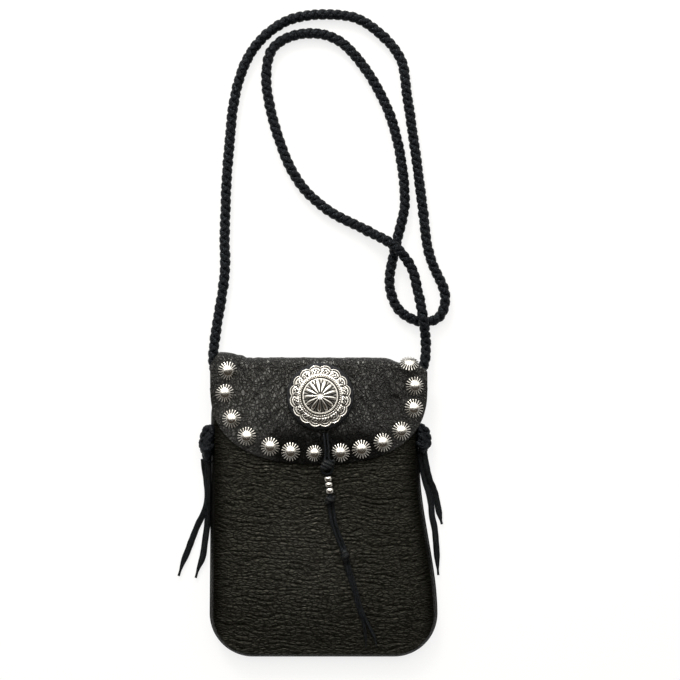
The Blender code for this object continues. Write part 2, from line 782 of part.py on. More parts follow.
def make_closing_loop():
    """A lace loop that comes from under the disc, runs down the flap and passes round the knot."""
    knot_x, knot_y = BUTTON_KNOT
    side_reach = BUTTON_KNOT_R[0] + LOOP_GAP + LACE_R
    down_reach = BUTTON_KNOT_R[1] + LOOP_GAP + LACE_R

    def over_flap(x, y):
        return Vector((x, y, flap_height(x, y) + GAP + LACE_R))

    left = [over_flap(x, y) for x, y in LOOP_LEG_ROUTE]
    right = [over_flap(x + LACE_SPACING, y) for x, y in LOOP_LEG_ROUTE]
    end_z = on_front(knot_x, knot_y, BEAD_R + BEAD_LACE_R + GAP + LACE_R).z
    start_z = left[-1].z + GAP
    route = left
    for step in range(LOOP_STEPS + 1):
        turn = pi / 2 + mix(LOOP_MOUTH_TURN, 2 * pi - LOOP_MOUTH_TURN, step / LOOP_STEPS)
        x = knot_x + side_reach * cos(turn)
        y = knot_y + down_reach * sin(turn)
        share = (knot_y + down_reach - y) / (2 * down_reach)
        route.append(Vector((x, y, mix(start_z, end_z, share))))
    route += right[::-1]
    return tube("closing_loop", smooth_route(route, LOOP_POINTS), LACE_R, "braid")


def make_button_knot():
    """The knot that the loop passes round, with its stem through the front panel."""
    x, y = BUTTON_KNOT
    place = on_front(x, y, BUTTON_KNOT_R[2])
    knot = ball("button_knot", place, BUTTON_KNOT_R, "braid")
    stem_low = front_height(x, y) - LEATHER
    middle = Vector((x, y, (stem_low + place.z) / 2))
    rod = [(middle, Vector((0, 0, 1)))]
    combine(knot, rod_cutter("button_stem", rod, BUTTON_STEM_R, place.z - stem_low), "UNION")
    return knot


def make_bead_lace():
    """The lace from the button knot through three silver beads to the middle knot."""
    start = on_front(BUTTON_KNOT[0], BUTTON_KNOT[1] - BUTTON_KNOT_R[1] - 2 * GAP, BEAD_R)
    end = on_front(MIDDLE_KNOT[0], MIDDLE_KNOT[1] + MIDDLE_KNOT_R[1] + GAP, BEAD_R)
    tube("bead_lace", [start, end], BEAD_LACE_R, "braid")
    along = (end - start).normalized()
    reach = sum(BEAD_LENGTHS) + BEAD_GAP * len(BEAD_LENGTHS)
    place = (end - start).length - reach
    for number, length in enumerate(BEAD_LENGTHS, 1):
        half = length / 2
        shoulder = half * 0.55
        profile = (
            (BEAD_BORE_R, half), (BEAD_R * 0.72, half), (BEAD_R, shoulder), (BEAD_R, -shoulder),
            (BEAD_R * 0.72, -half), (BEAD_BORE_R, -half), (BEAD_BORE_R, half),
        )
        bead = turned(f"bead_{number}", profile, "silver", 18)
        stand_on(bead, start + along * (place + half), along)
        place += length + BEAD_GAP


def front_lace(name, route, offset=0.0):
    points = []
    for x, y in route:
        points.append(on_front(x + offset, y, LACE_R))
    return tube(name, smooth_route(points, LACE_POINTS), LACE_R, "braid")


def make_drop_laces():
    """Two laces side by side from the middle knot, through the lower knot to two loose ends."""
    half = LACE_SPACING / 2 + GAP / 2
    middle = on_front(*MIDDLE_KNOT, MIDDLE_KNOT_R[2])
    ball("middle_knot", middle, MIDDLE_KNOT_R, "braid", 12, 8)
    front_lace("drop_lace_a", DROP_LACE_ROUTE, -half)
    front_lace("drop_lace_b", DROP_LACE_ROUTE, half)
    lower = on_front(*LOWER_KNOT, LOWER_KNOT_R[2])
    ball("lower_knot", lower, LOWER_KNOT_R, "braid", 12, 8)
    front_lace("drop_tail_a", DROP_TAIL_A_ROUTE)
    front_lace("drop_tail_b", DROP_TAIL_B_ROUTE)


# Assembly


def hang_on_hinge(pieces):
    """The flap and all it carries turn about the outside of the fold's crest."""
    hinge = bpy.data.objects.new("flap_hinge", None)
    hinge.location = (0, CREST_Y, FOLD_R)
    hinge.empty_display_size = 0.01
    BAG.objects.link(hinge)
    for piece in pieces:
        piece.parent = hinge
        piece.matrix_parent_inverse = Matrix.Translation(hinge.location).inverted()


def make_bag():
    make_back_panel()
    make_front_panel()
    make_gusset()
    make_strap()
    studs = stud_faces()
    concho = concho_axis()
    carried = [make_flap(studs, concho)]
    for number, (face, direction) in enumerate(studs, 1):
        carried += make_stud(number, face, direction)
    carried += make_concho(*concho)
    carried += make_concho_fixing(*concho)
    carried.append(make_closing_loop())
    make_button_knot()
    make_bead_lace()
    make_drop_laces()
    hang_on_hinge(carried)
    for piece in BAG.objects:
        if piece.type == "MESH":
            soften(piece)


make_bag()
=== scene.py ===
# %% [markdown]
# # A beaded medicine bag
# A flat pouch of soft black leather lies on its back.  Its flap carries fourteen silver spots and a concho,
# a lace with three beads hangs from the closing knot, and a long braid ends in a knot on each side.
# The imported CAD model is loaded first.  It fixes every place and size, and the pieces below dress it.

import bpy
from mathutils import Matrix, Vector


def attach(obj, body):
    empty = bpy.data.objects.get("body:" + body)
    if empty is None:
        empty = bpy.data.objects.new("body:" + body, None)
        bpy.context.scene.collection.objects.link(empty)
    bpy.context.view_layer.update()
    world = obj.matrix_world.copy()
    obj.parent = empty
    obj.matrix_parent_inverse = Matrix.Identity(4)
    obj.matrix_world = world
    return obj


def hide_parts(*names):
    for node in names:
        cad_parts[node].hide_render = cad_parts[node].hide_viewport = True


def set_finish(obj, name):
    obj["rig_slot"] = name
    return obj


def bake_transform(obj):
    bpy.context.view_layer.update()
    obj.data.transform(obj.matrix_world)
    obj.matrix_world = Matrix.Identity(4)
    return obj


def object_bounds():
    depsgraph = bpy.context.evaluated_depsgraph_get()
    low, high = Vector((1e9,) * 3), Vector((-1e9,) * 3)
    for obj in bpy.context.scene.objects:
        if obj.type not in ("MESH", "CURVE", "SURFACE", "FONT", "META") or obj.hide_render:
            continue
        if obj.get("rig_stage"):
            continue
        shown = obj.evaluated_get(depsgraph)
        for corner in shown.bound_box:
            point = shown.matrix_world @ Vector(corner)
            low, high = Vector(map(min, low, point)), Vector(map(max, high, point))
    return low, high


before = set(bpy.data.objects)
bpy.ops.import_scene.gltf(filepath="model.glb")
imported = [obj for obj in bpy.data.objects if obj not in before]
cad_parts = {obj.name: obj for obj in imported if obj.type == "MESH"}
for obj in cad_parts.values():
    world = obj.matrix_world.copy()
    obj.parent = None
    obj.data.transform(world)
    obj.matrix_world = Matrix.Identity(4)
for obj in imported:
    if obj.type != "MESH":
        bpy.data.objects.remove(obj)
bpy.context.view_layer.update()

# %% [markdown]
# ## Camera
# The photo looks straight down on the bag.  A photo pixel is 0.665 mm at the flap's height, so a long lens
# over the middle of the picture gives the same framing.  A long lens also keeps the strap, which is lower
# than the flap, from shrinking.

# %% Camera straight above the bag
from math import asin, atan2, cos, exp, hypot, pi, sin

import bpy
from mathutils import Matrix, Vector, noise

PIXEL = 0.000665
PICTURE_WIDTH = 680 * PIXEL
PICTURE_MIDDLE = (0.01097, 0.11140)
SENSOR, LENS = 0.036, 0.085
FOCUS_HEIGHT = 0.006

scene = bpy.context.scene
scene.view_settings.view_transform = "Standard"
camera_data = bpy.data.cameras.new("camera")
camera_data.sensor_width = SENSOR * 1000
camera_data.lens = LENS * 1000
camera_data.clip_start = 0.05
camera_data.clip_end = 60
camera = bpy.data.objects.new("camera", camera_data)
scene.collection.objects.link(camera)
camera.location = (*PICTURE_MIDDLE, FOCUS_HEIGHT + PICTURE_WIDTH * LENS / SENSOR)
scene.camera = camera
print("camera height:", round(camera.location.z, 4))

# %% [markdown]
# ## Nodes
# A room and a material are both graphs of nodes.  Wired one link at a time they are long to write and hard to
# read, so one helper adds a node together with all that goes into it, and the others make a sum, a ramp or a
# mix of two colours from it.

# %% Helpers for nodes
def wire(tree, node, inputs):
    """Links each named input to a socket, or sets it to a plain value."""
    for name, value in inputs.items():
        if isinstance(value, bpy.types.NodeSocket):
            tree.links.new(value, node.inputs[name])
        else:
            node.inputs[name].default_value = value


def add_node(tree, kind, inputs=None, **settings):
    node = tree.nodes.new(kind)
    for name, value in settings.items():
        setattr(node, name, value)
    wire(tree, node, inputs or {})
    return node


def math_node(tree, operation, *values):
    return add_node(tree, "ShaderNodeMath", dict(enumerate(values)), operation=operation).outputs[0]


def ramp(tree, value, start, end, low=0.0, high=1.0, kind="LINEAR"):
    """Values from start to end become values from low to high."""
    inputs = {"Value": value, "From Min": start, "From Max": end, "To Min": low, "To Max": high}
    return add_node(tree, "ShaderNodeMapRange", inputs, interpolation_type=kind).outputs["Result"]


def mix_colour(tree, first, second, share):
    """Two colours, each a socket or three plain numbers, mixed by a share."""
    inputs = {"Factor": share}
    for name, colour in (("A", first), ("B", second)):
        inputs[name] = (*colour, 1) if isinstance(colour, tuple) else colour
    return add_node(tree, "ShaderNodeMix", inputs, data_type="RGBA").outputs["Result"]


print("node helpers: 5")

# %% [markdown]
# ## Lamps and room
# Silver shows what surrounds it.  In the photo the upper half of each spot is white and the lower half dark,
# so there is one large soft window beyond the top of the picture, and a dim room with a pale low wall at its
# foot.  A small lamp beside the window rakes over the leather and brings out its grain.

# %% Window, bulb and room
def add_lamp(name, place, target, size, power, colour):
    lamp_data = bpy.data.lights.new(name, "AREA")
    lamp_data.shape = "RECTANGLE"
    lamp_data.size, lamp_data.size_y = size
    lamp_data.energy = power
    lamp_data.color = colour
    lamp = bpy.data.objects.new(name, lamp_data)
    scene.collection.objects.link(lamp)
    lamp.location = place
    lamp.rotation_euler = (Vector(target) - Vector(place)).to_track_quat("-Z", "Y").to_euler()


add_lamp("window", (-0.05, 0.95, 1.10), (0, 0.05, 0), (1.9, 1.9), 20, (1.0, 0.98, 0.94))
add_lamp("bare_bulb", (-0.32, 1.15, 0.72), (0, 0.05, 0), (0.30, 0.30), 9, (1.0, 0.96, 0.90))

DIM_ROOM = (0.045, 0.036, 0.027)
WINDOW_LIGHT = (1.50, 1.48, 1.41)
world = bpy.data.worlds.new("room")
scene.world = world
world.use_nodes = True
tree = world.node_tree
tree.nodes.clear()
direction = add_node(tree, "ShaderNodeTexCoord").outputs["Generated"]
parts = add_node(tree, "ShaderNodeSeparateXYZ", {0: direction}).outputs
window_side = ramp(tree, parts["Y"], -0.10, 0.55, kind="SMOOTHSTEP")
low_wall = ramp(tree, parts["Z"], 0.45, 0.20, high=0.26, kind="SMOOTHSTEP")
room = mix_colour(tree, DIM_ROOM, WINDOW_LIGHT, math_node(tree, "MAXIMUM", window_side, low_wall))
camera_ray = add_node(tree, "ShaderNodeLightPath").outputs["Is Camera Ray"]
seen = mix_colour(tree, room, (1.0, 1.0, 1.0), camera_ray)
background = add_node(tree, "ShaderNodeBackground", {"Color": seen, "Strength": 1.0})
add_node(tree, "ShaderNodeOutputWorld", {"Surface": background.outputs[0]})
print("lamps: 2")

# %% [markdown]
# ## Floor
# The bag was photographed on white.  A plain white floor would turn grey away from the lamps, so it glows for
# the camera and for the metal, and only a small share of it still takes the bag's soft shadow.

# %% White floor
FLOOR_Z = -0.0005
SHADOW_SHARE = 0.22
bpy.ops.object.select_all(action="DESELECT")
bpy.ops.mesh.primitive_plane_add(size=60, location=(0, 0, FLOOR_Z))
floor = bpy.context.object
floor.name = "floor"
paper = bpy.data.materials.new("white_paper")
paper.use_nodes = True
tree = paper.node_tree
tree.nodes.clear()
matt = add_node(tree, "ShaderNodeBsdfDiffuse", {"Color": (0.90, 0.90, 0.90, 1)})
glow = add_node(tree, "ShaderNodeEmission", {"Color": (1, 1, 1, 1)})
rays = add_node(tree, "ShaderNodeLightPath").outputs
bright_rays = math_node(tree, "MAXIMUM", rays["Is Camera Ray"], rays["Is Glossy Ray"])
bright_rays = math_node(tree, "MAXIMUM", bright_rays, rays["Is Transmission Ray"])
share = math_node(tree, "MULTIPLY", bright_rays, 1 - SHADOW_SHARE)
mixed = add_node(tree, "ShaderNodeMixShader", {"Fac": share, 1: matt.outputs[0], 2: glow.outputs[0]})
add_node(tree, "ShaderNodeOutputMaterial", {"Surface": mixed.outputs[0]})
floor.data.materials.append(paper)
floor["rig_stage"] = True
print("stage pieces: 1")

# %% [markdown]
# ## The bag's outline and height
# Every piece rests on another, so a few small functions say where the pouch's sides are and how high its
# front and its flap stand.  They hold the same sizes as the CAD model, in metres.

# %% Sizes and heights that the pieces share
LEATHER = 0.0014
GAP = 0.0003
FLAP_GAP = 0.0004
BOTTOM_Y, CREST_Y = -0.1000, 0.0998
BASE_HALF_WIDTH = 0.0761
MOUTH_LEFT, MOUTH_RIGHT = -0.0748, 0.0642
CORNER_R = 0.0290
TAPER_LOW_Y, TAPER_HIGH_Y = -0.0720, 0.0300
FOLD_R = 0.0055
FOLD_Y = CREST_Y - FOLD_R
MOUTH_Y = 0.0880
MOUTH_Z = 2 * FOLD_R - LEATHER - FLAP_GAP
FRONT_INSET = 0.0032
EDGE_RISE, CROWN, CROWN_POWER = 0.0012, 0.0035, 2.6
RAMP_LENGTH, FOOT_LENGTH = 0.0450, 0.0420


def clamp(value, low=0.0, high=1.0):
    return max(low, min(high, value))


def mix(start, end, share):
    return start + (end - start) * share


def smooth(share):
    share = clamp(share)
    return share * share * (3 - 2 * share)


def left_edge(y):
    side_start = BOTTOM_Y + CORNER_R
    return mix(-BASE_HALF_WIDTH, MOUTH_LEFT, clamp((y - side_start) / (FOLD_Y - side_start)))


def right_edge(y):
    share = smooth((y - TAPER_LOW_Y) / (TAPER_HIGH_Y - TAPER_LOW_Y))
    return mix(BASE_HALF_WIDTH, MOUTH_RIGHT, share)


def foot_points(inset, corner_steps, flat_steps):
    """The round corners and the flat bottom, from the left side to the right side."""
    side_start = BOTTOM_Y + CORNER_R
    radius = CORNER_R - inset
    left = left_edge(side_start) + CORNER_R
    right = right_edge(side_start) - CORNER_R
    turns = [pi / 2 * step / corner_steps for step in range(corner_steps + 1)]
    points = [(left - radius * cos(turn), side_start - radius * sin(turn)) for turn in turns]
    for step in range(1, flat_steps):
        points.append((mix(left, right, step / flat_steps), side_start - radius))
    points += [(right + radius * sin(turn), side_start - radius * cos(turn)) for turn in turns]
    return points


def across_front(x, y):
    """How far from the front panel's middle a point lies, from -1 to 1."""
    low = left_edge(y) + FRONT_INSET
    high = right_edge(y) - FRONT_INSET
    return clamp((2 * x - low - high) / (high - low), -1, 1)


def front_height(x, y):
    """Height of the front panel's outer face."""
    rise = clamp((MOUTH_Y - y) / RAMP_LENGTH)
    foot = smooth((y - BOTTOM_Y - FRONT_INSET) / FOOT_LENGTH)
    crown = CROWN * (1 - abs(across_front(x, y)) ** CROWN_POWER) * foot
    return MOUTH_Z + rise * (EDGE_RISE + crown)


def flap_height(x, y):
    """Height of the flap's outer face, in front of its fold."""
    return front_height(x, min(y, MOUTH_Y)) + FLAP_GAP + LEATHER


print("front height in the middle:", round(front_height(0, 0), 5))

# %% [markdown]
# ## Routes
# A cord is a smooth curve through a few chosen points.  The curve is cut into even steps, and at each step
# it has a direction, a side and a top, so that a lace or a strand can be laid round it.

# %% A smooth route with a side and a top at each step
UP = Vector((0, 0, 1))
FINE_STEPS = 16


def smooth_route(points, count):
    """Points evenly spaced along a smooth curve through a route."""
    route = [Vector(point) for point in points]
    padded = [2 * route[0] - route[1]] + route + [2 * route[-1] - route[-2]]
    fine = []
    for before, start, end, after in zip(padded, padded[1:], padded[2:], padded[3:]):
        first = (start - before).length ** 0.5
        second = first + (end - start).length ** 0.5
        third = second + (after - end).length ** 0.5
        for step in range(FINE_STEPS):
            place = mix(first, second, step / FINE_STEPS)
            a1 = start.lerp(before, (first - place) / first)
            a2 = start.lerp(end, (place - first) / (second - first))
            a3 = end.lerp(after, (place - second) / (third - second))
            b1 = a1.lerp(a2, place / second)
            b2 = a2.lerp(a3, (place - first) / (third - first))
            fine.append(b1.lerp(b2, (place - first) / (second - first)))
    fine.append(route[-1])
    reach = [0.0]
    for start, end in zip(fine, fine[1:]):
        reach.append(reach[-1] + (end - start).length)
    spaced = []
    index = 0
    for step in range(count):
        target = reach[-1] * step / (count - 1)
        while index < len(reach) - 2 and reach[index + 1] < target:
            index += 1
        share = (target - reach[index]) / (reach[index + 1] - reach[index])
        spaced.append(fine[index].lerp(fine[index + 1], clamp(share)))
    return spaced


def route_length(points):
    return sum((end - start).length for start, end in zip(points, points[1:]))


def route_frames(points):
    """Direction, side and top at each point, carried along so that they never flip."""
    frames = []
    top = UP
    for index in range(len(points)):
        ahead = points[min(index + 1, len(points) - 1)]
        behind = points[max(index - 1, 0)]
        along = (ahead - behind).normalized()
        top = (top - along * top.dot(along)).normalized()
        frames.append((along, along.cross(top), top))
    return frames


print("length of a straight test route:", route_length(smooth_route(((0, 0, 0), (0.1, 0, 0)), 5)))

# %% [markdown]
# ## Laces as rings
# A bevelled curve gives a lace one width from end to end.  Here a lace is a row of rings instead, joined by
# faces, so that it can swell, flatten and narrow to a point.  Every piece is then tied to the CAD model: it
# moves with a body, it stands for nodes of that model, and it takes a finish from the model's list.

# %% Rings, masks and ties to the CAD model
def mesh_piece(name, points, faces):
    mesh = bpy.data.meshes.new(name)
    mesh.from_pydata(points, [], faces)
    mesh.validate()
    piece = bpy.data.objects.new(name, mesh)
    scene.collection.objects.link(piece)
    return piece


def point_mask(piece, name, values):
    """Keeps one value for each vertex, which the piece's material reads by its name."""
    mask = piece.data.attributes.new(name, "FLOAT", "POINT")
    mask.data.foreach_set("value", values)


def dress(piece, body, slot, *nodes):
    """Says what a piece moves with, which CAD nodes it stands for and which finish it takes."""
    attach(piece, body)
    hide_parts(*nodes)
    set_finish(piece, slot)


def loft(rings, first_index=0):
    """Faces between rings of the same number of points, closed at both ends."""
    size = len(rings[0])
    points = [point for ring in rings for point in ring]
    faces = []
    for row in range(len(rings) - 1):
        low = first_index + row * size
        for index in range(size):
            following = (index + 1) % size
            faces.append((low + index, low + following, low + size + following, low + size + index))
    last = first_index + (len(rings) - 1) * size
    faces.append(tuple(first_index + index for index in reversed(range(size))))
    faces.append(tuple(last + index for index in range(size)))
    return points, faces


def oval(half_width, half_thickness, count=8, squareness=2.6):
    """Section of a lace: a flat strip with soft edges."""
    section = []
    for index in range(count):
        turn = 2 * pi * (index + 0.5) / count
        side, top = cos(turn), sin(turn)
        reach = (abs(side) ** squareness + abs(top) ** squareness) ** (-1 / squareness)
        section.append((side * reach * half_width, top * reach * half_thickness))
    return section


def strip_ring(place, wide, face, section):
    """A lace's section, set across its route."""
    return [place + wide * side + face * top for side, top in section]


print("points round a lace:", len(oval(1, 1)))

# %% [markdown]
# ## Shoulder strap
# The strap is a round braid of four leather laces.  Two laces wind one way round it and two the other way,
# and each goes over one and under the next; the first two are cut a little wider.  Tubes on a curve would
# look like rope, so each lace follows its own winding path and is lofted as a flat strip.  Small uneven steps
# in the winding give the knobbly edge of hand braiding.

# %% Braid of four laces
BRAID_R = 0.0032
BRAID_PITCH = 0.0102
STRAND_STEPS = 16
STRAND_PLACE, STRAND_OVER = 0.62, 0.14
STRAND_WIDTH, STRAND_THICKNESS = 0.58, 0.32


def braid(centre_points, radius, pitch, seed=0.0):
    """Points and faces of a round braid along a route that is cut into even steps."""
    frames = route_frames(centre_points)
    step_length = route_length(centre_points) / (len(centre_points) - 1)
    points, faces = [], []
    middle = radius * STRAND_PLACE
    over = radius * STRAND_OVER
    for strand in range(4):
        way = 1 if strand < 2 else -1
        start_turn = pi * (strand % 2)
        path = []
        for index, (centre, (along, side, top)) in enumerate(zip(centre_points, frames)):
            turn = 2 * pi * index * step_length / pitch
            unevenness = noise.noise(Vector((index * step_length * 230, strand * 7.1, seed)))
            reach = middle + way * (over * cos(2 * turn) + radius * 0.05) + radius * 0.13 * unevenness
            angle = way * turn + start_turn + 0.15 * unevenness
            outward = side * cos(angle) + top * sin(angle)
            path.append((centre + outward * reach, outward))
        rings = []
        for index, (place, outward) in enumerate(path):
            ahead = path[min(index + 1, len(path) - 1)][0]
            behind = path[max(index - 1, 0)][0]
            direction = (ahead - behind).normalized()
            face = (outward - direction * outward.dot(direction)).normalized()
            plumpness = noise.noise(Vector((index * step_length * 310, strand * 3.3, seed + 5)))
            swell = 1 + 0.12 * way + 0.24 * plumpness
            section = oval(radius * STRAND_WIDTH * swell, radius * STRAND_THICKNESS)
            rings.append(strip_ring(place, direction.cross(face), face, section))
        strand_points, strand_faces = loft(rings, len(points))
        points += strand_points
        faces += strand_faces
    return points, faces


STRAP_ROUTE = (
    (-0.0682, 0.0449, 0.0052), (-0.0634, 0.0515, 0.0049), (-0.0630, 0.0660, 0.0046),
    (-0.0690, 0.0830, 0.0045), (-0.0732, 0.0960, 0.0043), (-0.0725, 0.1110, 0.0029),
    (-0.0658, 0.1566, 0.0029), (-0.0658, 0.1840, 0.0029), (-0.0632, 0.2364, 0.0029),
    (-0.0565, 0.2843, 0.0029), (-0.0446, 0.3082, 0.0029), (-0.0235, 0.3245, 0.0029),
    (0.0060, 0.3283, 0.0029), (0.0260, 0.3240, 0.0029), (0.0505, 0.3005, 0.0029),
    (0.0560, 0.2720, 0.0029), (0.0655, 0.2045, 0.0029), (0.0705, 0.1680, 0.0029),
    (0.0812, 0.1400, 0.0029), (0.0765, 0.1262, 0.0029), (0.0640, 0.1238, 0.0029),
    (0.0500, 0.1318, 0.0029), (0.0440, 0.1486, 0.0029), (0.0486, 0.1760, 0.0029),
    (0.0541, 0.2045, 0.0029), (0.0445, 0.2604, 0.0029), (0.0216, 0.3003, 0.0029),
    (0.0050, 0.3135, 0.0029), (-0.0170, 0.3150, 0.0029), (-0.0335, 0.3060, 0.0029),
    (-0.0382, 0.2843, 0.0029), (-0.0266, 0.2364, 0.0029), (-0.0133, 0.2125, 0.0029),
    (0.0053, 0.1965, 0.0029), (0.0285, 0.1845, 0.0040), (0.0477, 0.1730, 0.0092),
    (0.0585, 0.1590, 0.0068), (0.0628, 0.1430, 0.0068), (0.0662, 0.1247, 0.0092),
    (0.0680, 0.1110, 0.0040), (0.0672, 0.0965, 0.0045), (0.0590, 0.0790, 0.0046),
    (0.0520, 0.0650, 0.0047), (0.0526, 0.0535, 0.0049), (0.0570, 0.0478, 0.0052),
)
STRAP_LIFT = 0.0007
strap_steps = round(route_length(smooth_route(STRAP_ROUTE, 400)) / BRAID_PITCH * STRAND_STEPS)
strap_line = [point + UP * STRAP_LIFT for point in smooth_route(STRAP_ROUTE, strap_steps)]
strap = mesh_piece("braided_strap", *braid(strap_line, BRAID_R, BRAID_PITCH))
dress(strap, "pouch", "braid", "shoulder_strap")

# %% [markdown]
# ## Side knots
# The braid comes out through a hole in each side of the pouch and is tied in a knot there, so that it can't
# slip back.  A knot in a braid is the braid itself, folded over, so the same braid is laid along three short
# routes: out of the pouch and down its side, once round, and once along the front.

# %% Knots of braid beside the pouch
KNOT_STEP = 0.0006
KNOT_PITCH = 0.0090
SIDE_KNOTS = {
    "side_knot_left": (
        (((-0.0702, 0.0442, 0.0052), (-0.0728, 0.0478, 0.0060), (-0.0750, 0.0528, 0.0068),
          (-0.0776, 0.0518, 0.0062), (-0.0798, 0.0462, 0.0052), (-0.0801, 0.0415, 0.0046),
          (-0.0788, 0.0365, 0.0042), (-0.0778, 0.0320, 0.0042), (-0.0774, 0.0296, 0.0044)), 0.0027),
        (((-0.0752, 0.0470, 0.0040), (-0.0778, 0.0450, 0.0036), (-0.0804, 0.0412, 0.0058),
          (-0.0786, 0.0386, 0.0086), (-0.0756, 0.0398, 0.0086), (-0.0738, 0.0420, 0.0070)), 0.0024),
        (((-0.0736, 0.0532, 0.0072), (-0.0750, 0.0472, 0.0092), (-0.0762, 0.0400, 0.0080),
          (-0.0762, 0.0335, 0.0060)), 0.0023),
        (-0.0770, 0.0415, 0.0058), (0.0038, 0.0110, 0.0036), "strap_knot_left",
    ),
    "side_knot_right": (
        (((0.0596, 0.0462, 0.0052), (0.0622, 0.0490, 0.0060), (0.0648, 0.0532, 0.0066),
          (0.0672, 0.0520, 0.0060), (0.0689, 0.0474, 0.0052), (0.0689, 0.0430, 0.0046),
          (0.0670, 0.0392, 0.0042), (0.0655, 0.0362, 0.0046)), 0.0026),
        (((0.0650, 0.0495, 0.0038), (0.0676, 0.0470, 0.0036), (0.0694, 0.0430, 0.0058),
          (0.0676, 0.0404, 0.0084), (0.0648, 0.0414, 0.0086), (0.0630, 0.0436, 0.0070)), 0.0023),
        (((0.0630, 0.0540, 0.0072), (0.0644, 0.0482, 0.0090), (0.0652, 0.0420, 0.0080),
          (0.0650, 0.0368, 0.0060)), 0.0022),
        (0.0660, 0.0446, 0.0056), (0.0034, 0.0086, 0.0034), "strap_knot_right",
    ),
}


def join_core(knot, centre, radii):
    """Fills a knot with a soft core, so that nothing can be seen through it."""
    bpy.ops.object.select_all(action="DESELECT")
    bpy.ops.mesh.primitive_uv_sphere_add(segments=20, ring_count=12, radius=1)
    core = bpy.context.object
    core.data.transform(Matrix.Translation(centre) @ Matrix.Diagonal((*radii, 1)))
    knot.select_set(True)
    bpy.context.view_layer.objects.active = knot
    bpy.ops.object.join()


for name, (*turns, core_centre, core_radii, node) in SIDE_KNOTS.items():
    points, faces = [], []
    for number, (route, radius) in enumerate(turns):
        steps = round(route_length(smooth_route(route, 60)) / KNOT_STEP)
        knot_points, knot_faces = braid(smooth_route(route, steps), radius, KNOT_PITCH, seed=3.0 + number)
        faces += [tuple(index + len(points) for index in face) for face in knot_faces]
        points += knot_points
    knot = mesh_piece(name, points, faces)
    join_core(knot, Vector(core_centre), core_radii)
    dress(knot, "pouch", "braid", node)
    print(name, "faces:", len(knot.data.polygons))

# %% [markdown]
# ## Lace tails
# The four laces of the braid end as tails below each knot.  They are strips cut from a hide, flat with soft
# edges, and they narrow to a point.  A strip is lofted along its route with a slight turn, as leather lace
# never lies quite flat.

# %% Flat laces with pointed ends
TAIL_FULL_WIDTH = 0.0043
TAIL_THICKNESS = 0.0012
TAIL_STEPS = 60
LACE_SIDES = 10


def paint_lace_highlight(piece, amount):
    """Keeps a mask of painted highlight along the middle of a lace's outer face."""
    turns = [2 * pi * (index + 0.5) / LACE_SIDES for index in range(LACE_SIDES)]
    around = [amount * max(sin(turn), 0.0) ** 5 for turn in turns]
    point_mask(piece, "wear_and_sheen", around * (len(piece.data.vertices) // LACE_SIDES))


def lace(name, route, width, thickness, steps, twist=0.0, point_share=0.0, waver=0.0, seed=0.0):
    """A strip along a route.  It narrows to a point over the last share of its length."""
    line = smooth_route(route, steps)
    rings = []
    for index, (centre, (_, side, top)) in enumerate(zip(line, route_frames(line))):
        share = index / (steps - 1)
        turn = twist * sin(3.1 * share + seed) + waver * noise.noise(Vector((share * 7, seed, 0)))
        narrow = clamp((1 - share) / point_share, 0.30) ** 0.8 if point_share else 1.0
        swell = 1 + 0.10 * noise.noise(Vector((share * 16, seed, 2)))
        wide = side * cos(turn) + top * sin(turn)
        face = top * cos(turn) - side * sin(turn)
        section = oval(width / 2 * narrow * swell, thickness / 2 * max(narrow, 0.45), LACE_SIDES, 3.2)
        rings.append(strip_ring(centre, wide, face, section))
    strip = mesh_piece(name, *loft(rings))
    # A thin painted highlight along the lace's outer face.
    paint_lace_highlight(strip, 0.26)
    return strip, line


TAIL_ROUTES = {
    "left_tail_outer": (
        (-0.0797, 0.0321, 0.0048), (-0.0795, 0.0270, 0.0024), (-0.0786, 0.0205, 0.0013),
        (-0.0776, 0.0120, 0.0013), (-0.0777, 0.0040, 0.0013), (-0.0796, -0.0030, 0.0013),
        (-0.0841, -0.0123, 0.0013), (-0.0878, -0.0216, 0.0013), (-0.0908, -0.0296, 0.0013),
        (-0.0941, -0.0376, 0.0013), (-0.0968, -0.0462, 0.0013),
    ),
    "left_tail_inner": (
        (-0.0770, 0.0321, 0.0048), (-0.0769, 0.0270, 0.0047), (-0.0769, 0.0205, 0.0040),
        (-0.0769, 0.0120, 0.0039), (-0.0770, 0.0040, 0.0036), (-0.0772, -0.0030, 0.0025),
        (-0.0776, -0.0110, 0.0013), (-0.0792, -0.0230, 0.0013), (-0.0808, -0.0336, 0.0013),
        (-0.0838, -0.0416, 0.0013), (-0.0854, -0.0475, 0.0013),
    ),
    "right_tail_inner": (
        (0.0644, 0.0372, 0.0048), (0.0652, 0.0300, 0.0026), (0.0676, 0.0183, 0.0014),
        (0.0700, 0.0103, 0.0013), (0.0718, 0.0020, 0.0013), (0.0724, -0.0060, 0.0013),
        (0.0741, -0.0140, 0.0013), (0.0752, -0.0256, 0.0013), (0.0760, -0.0376, 0.0013),
        (0.0766, -0.0456, 0.0013),
    ),
    "right_tail_outer": (
        (0.0668, 0.0372, 0.0052), (0.0680, 0.0300, 0.0042), (0.0708, 0.0183, 0.0028),
        (0.0739, 0.0110, 0.0013), (0.0755, 0.0045, 0.0013), (0.0770, -0.0030, 0.0013),
        (0.0790, -0.0116, 0.0013),
    ),
}
for number, (node, route) in enumerate(TAIL_ROUTES.items()):
    tail, line = lace(
        node.replace("tail", "lace_tail"), route, TAIL_FULL_WIDTH, TAIL_THICKNESS, TAIL_STEPS,
        twist=0.30, point_share=0.16, waver=0.25, seed=float(number))
    dress(tail, "pouch", "braid", node)
    print(tail.name, "length:", round(route_length(line), 4))

# %% [markdown]
# ## Front laces
# One lace comes out of the closing knot, goes through the three beads and is joined by a second lace at the
# knot below them.  Both pass through the lower knot and end loose.  They lie on the front panel, so each
# route holds only X and Y, and its height comes from the leather under it.

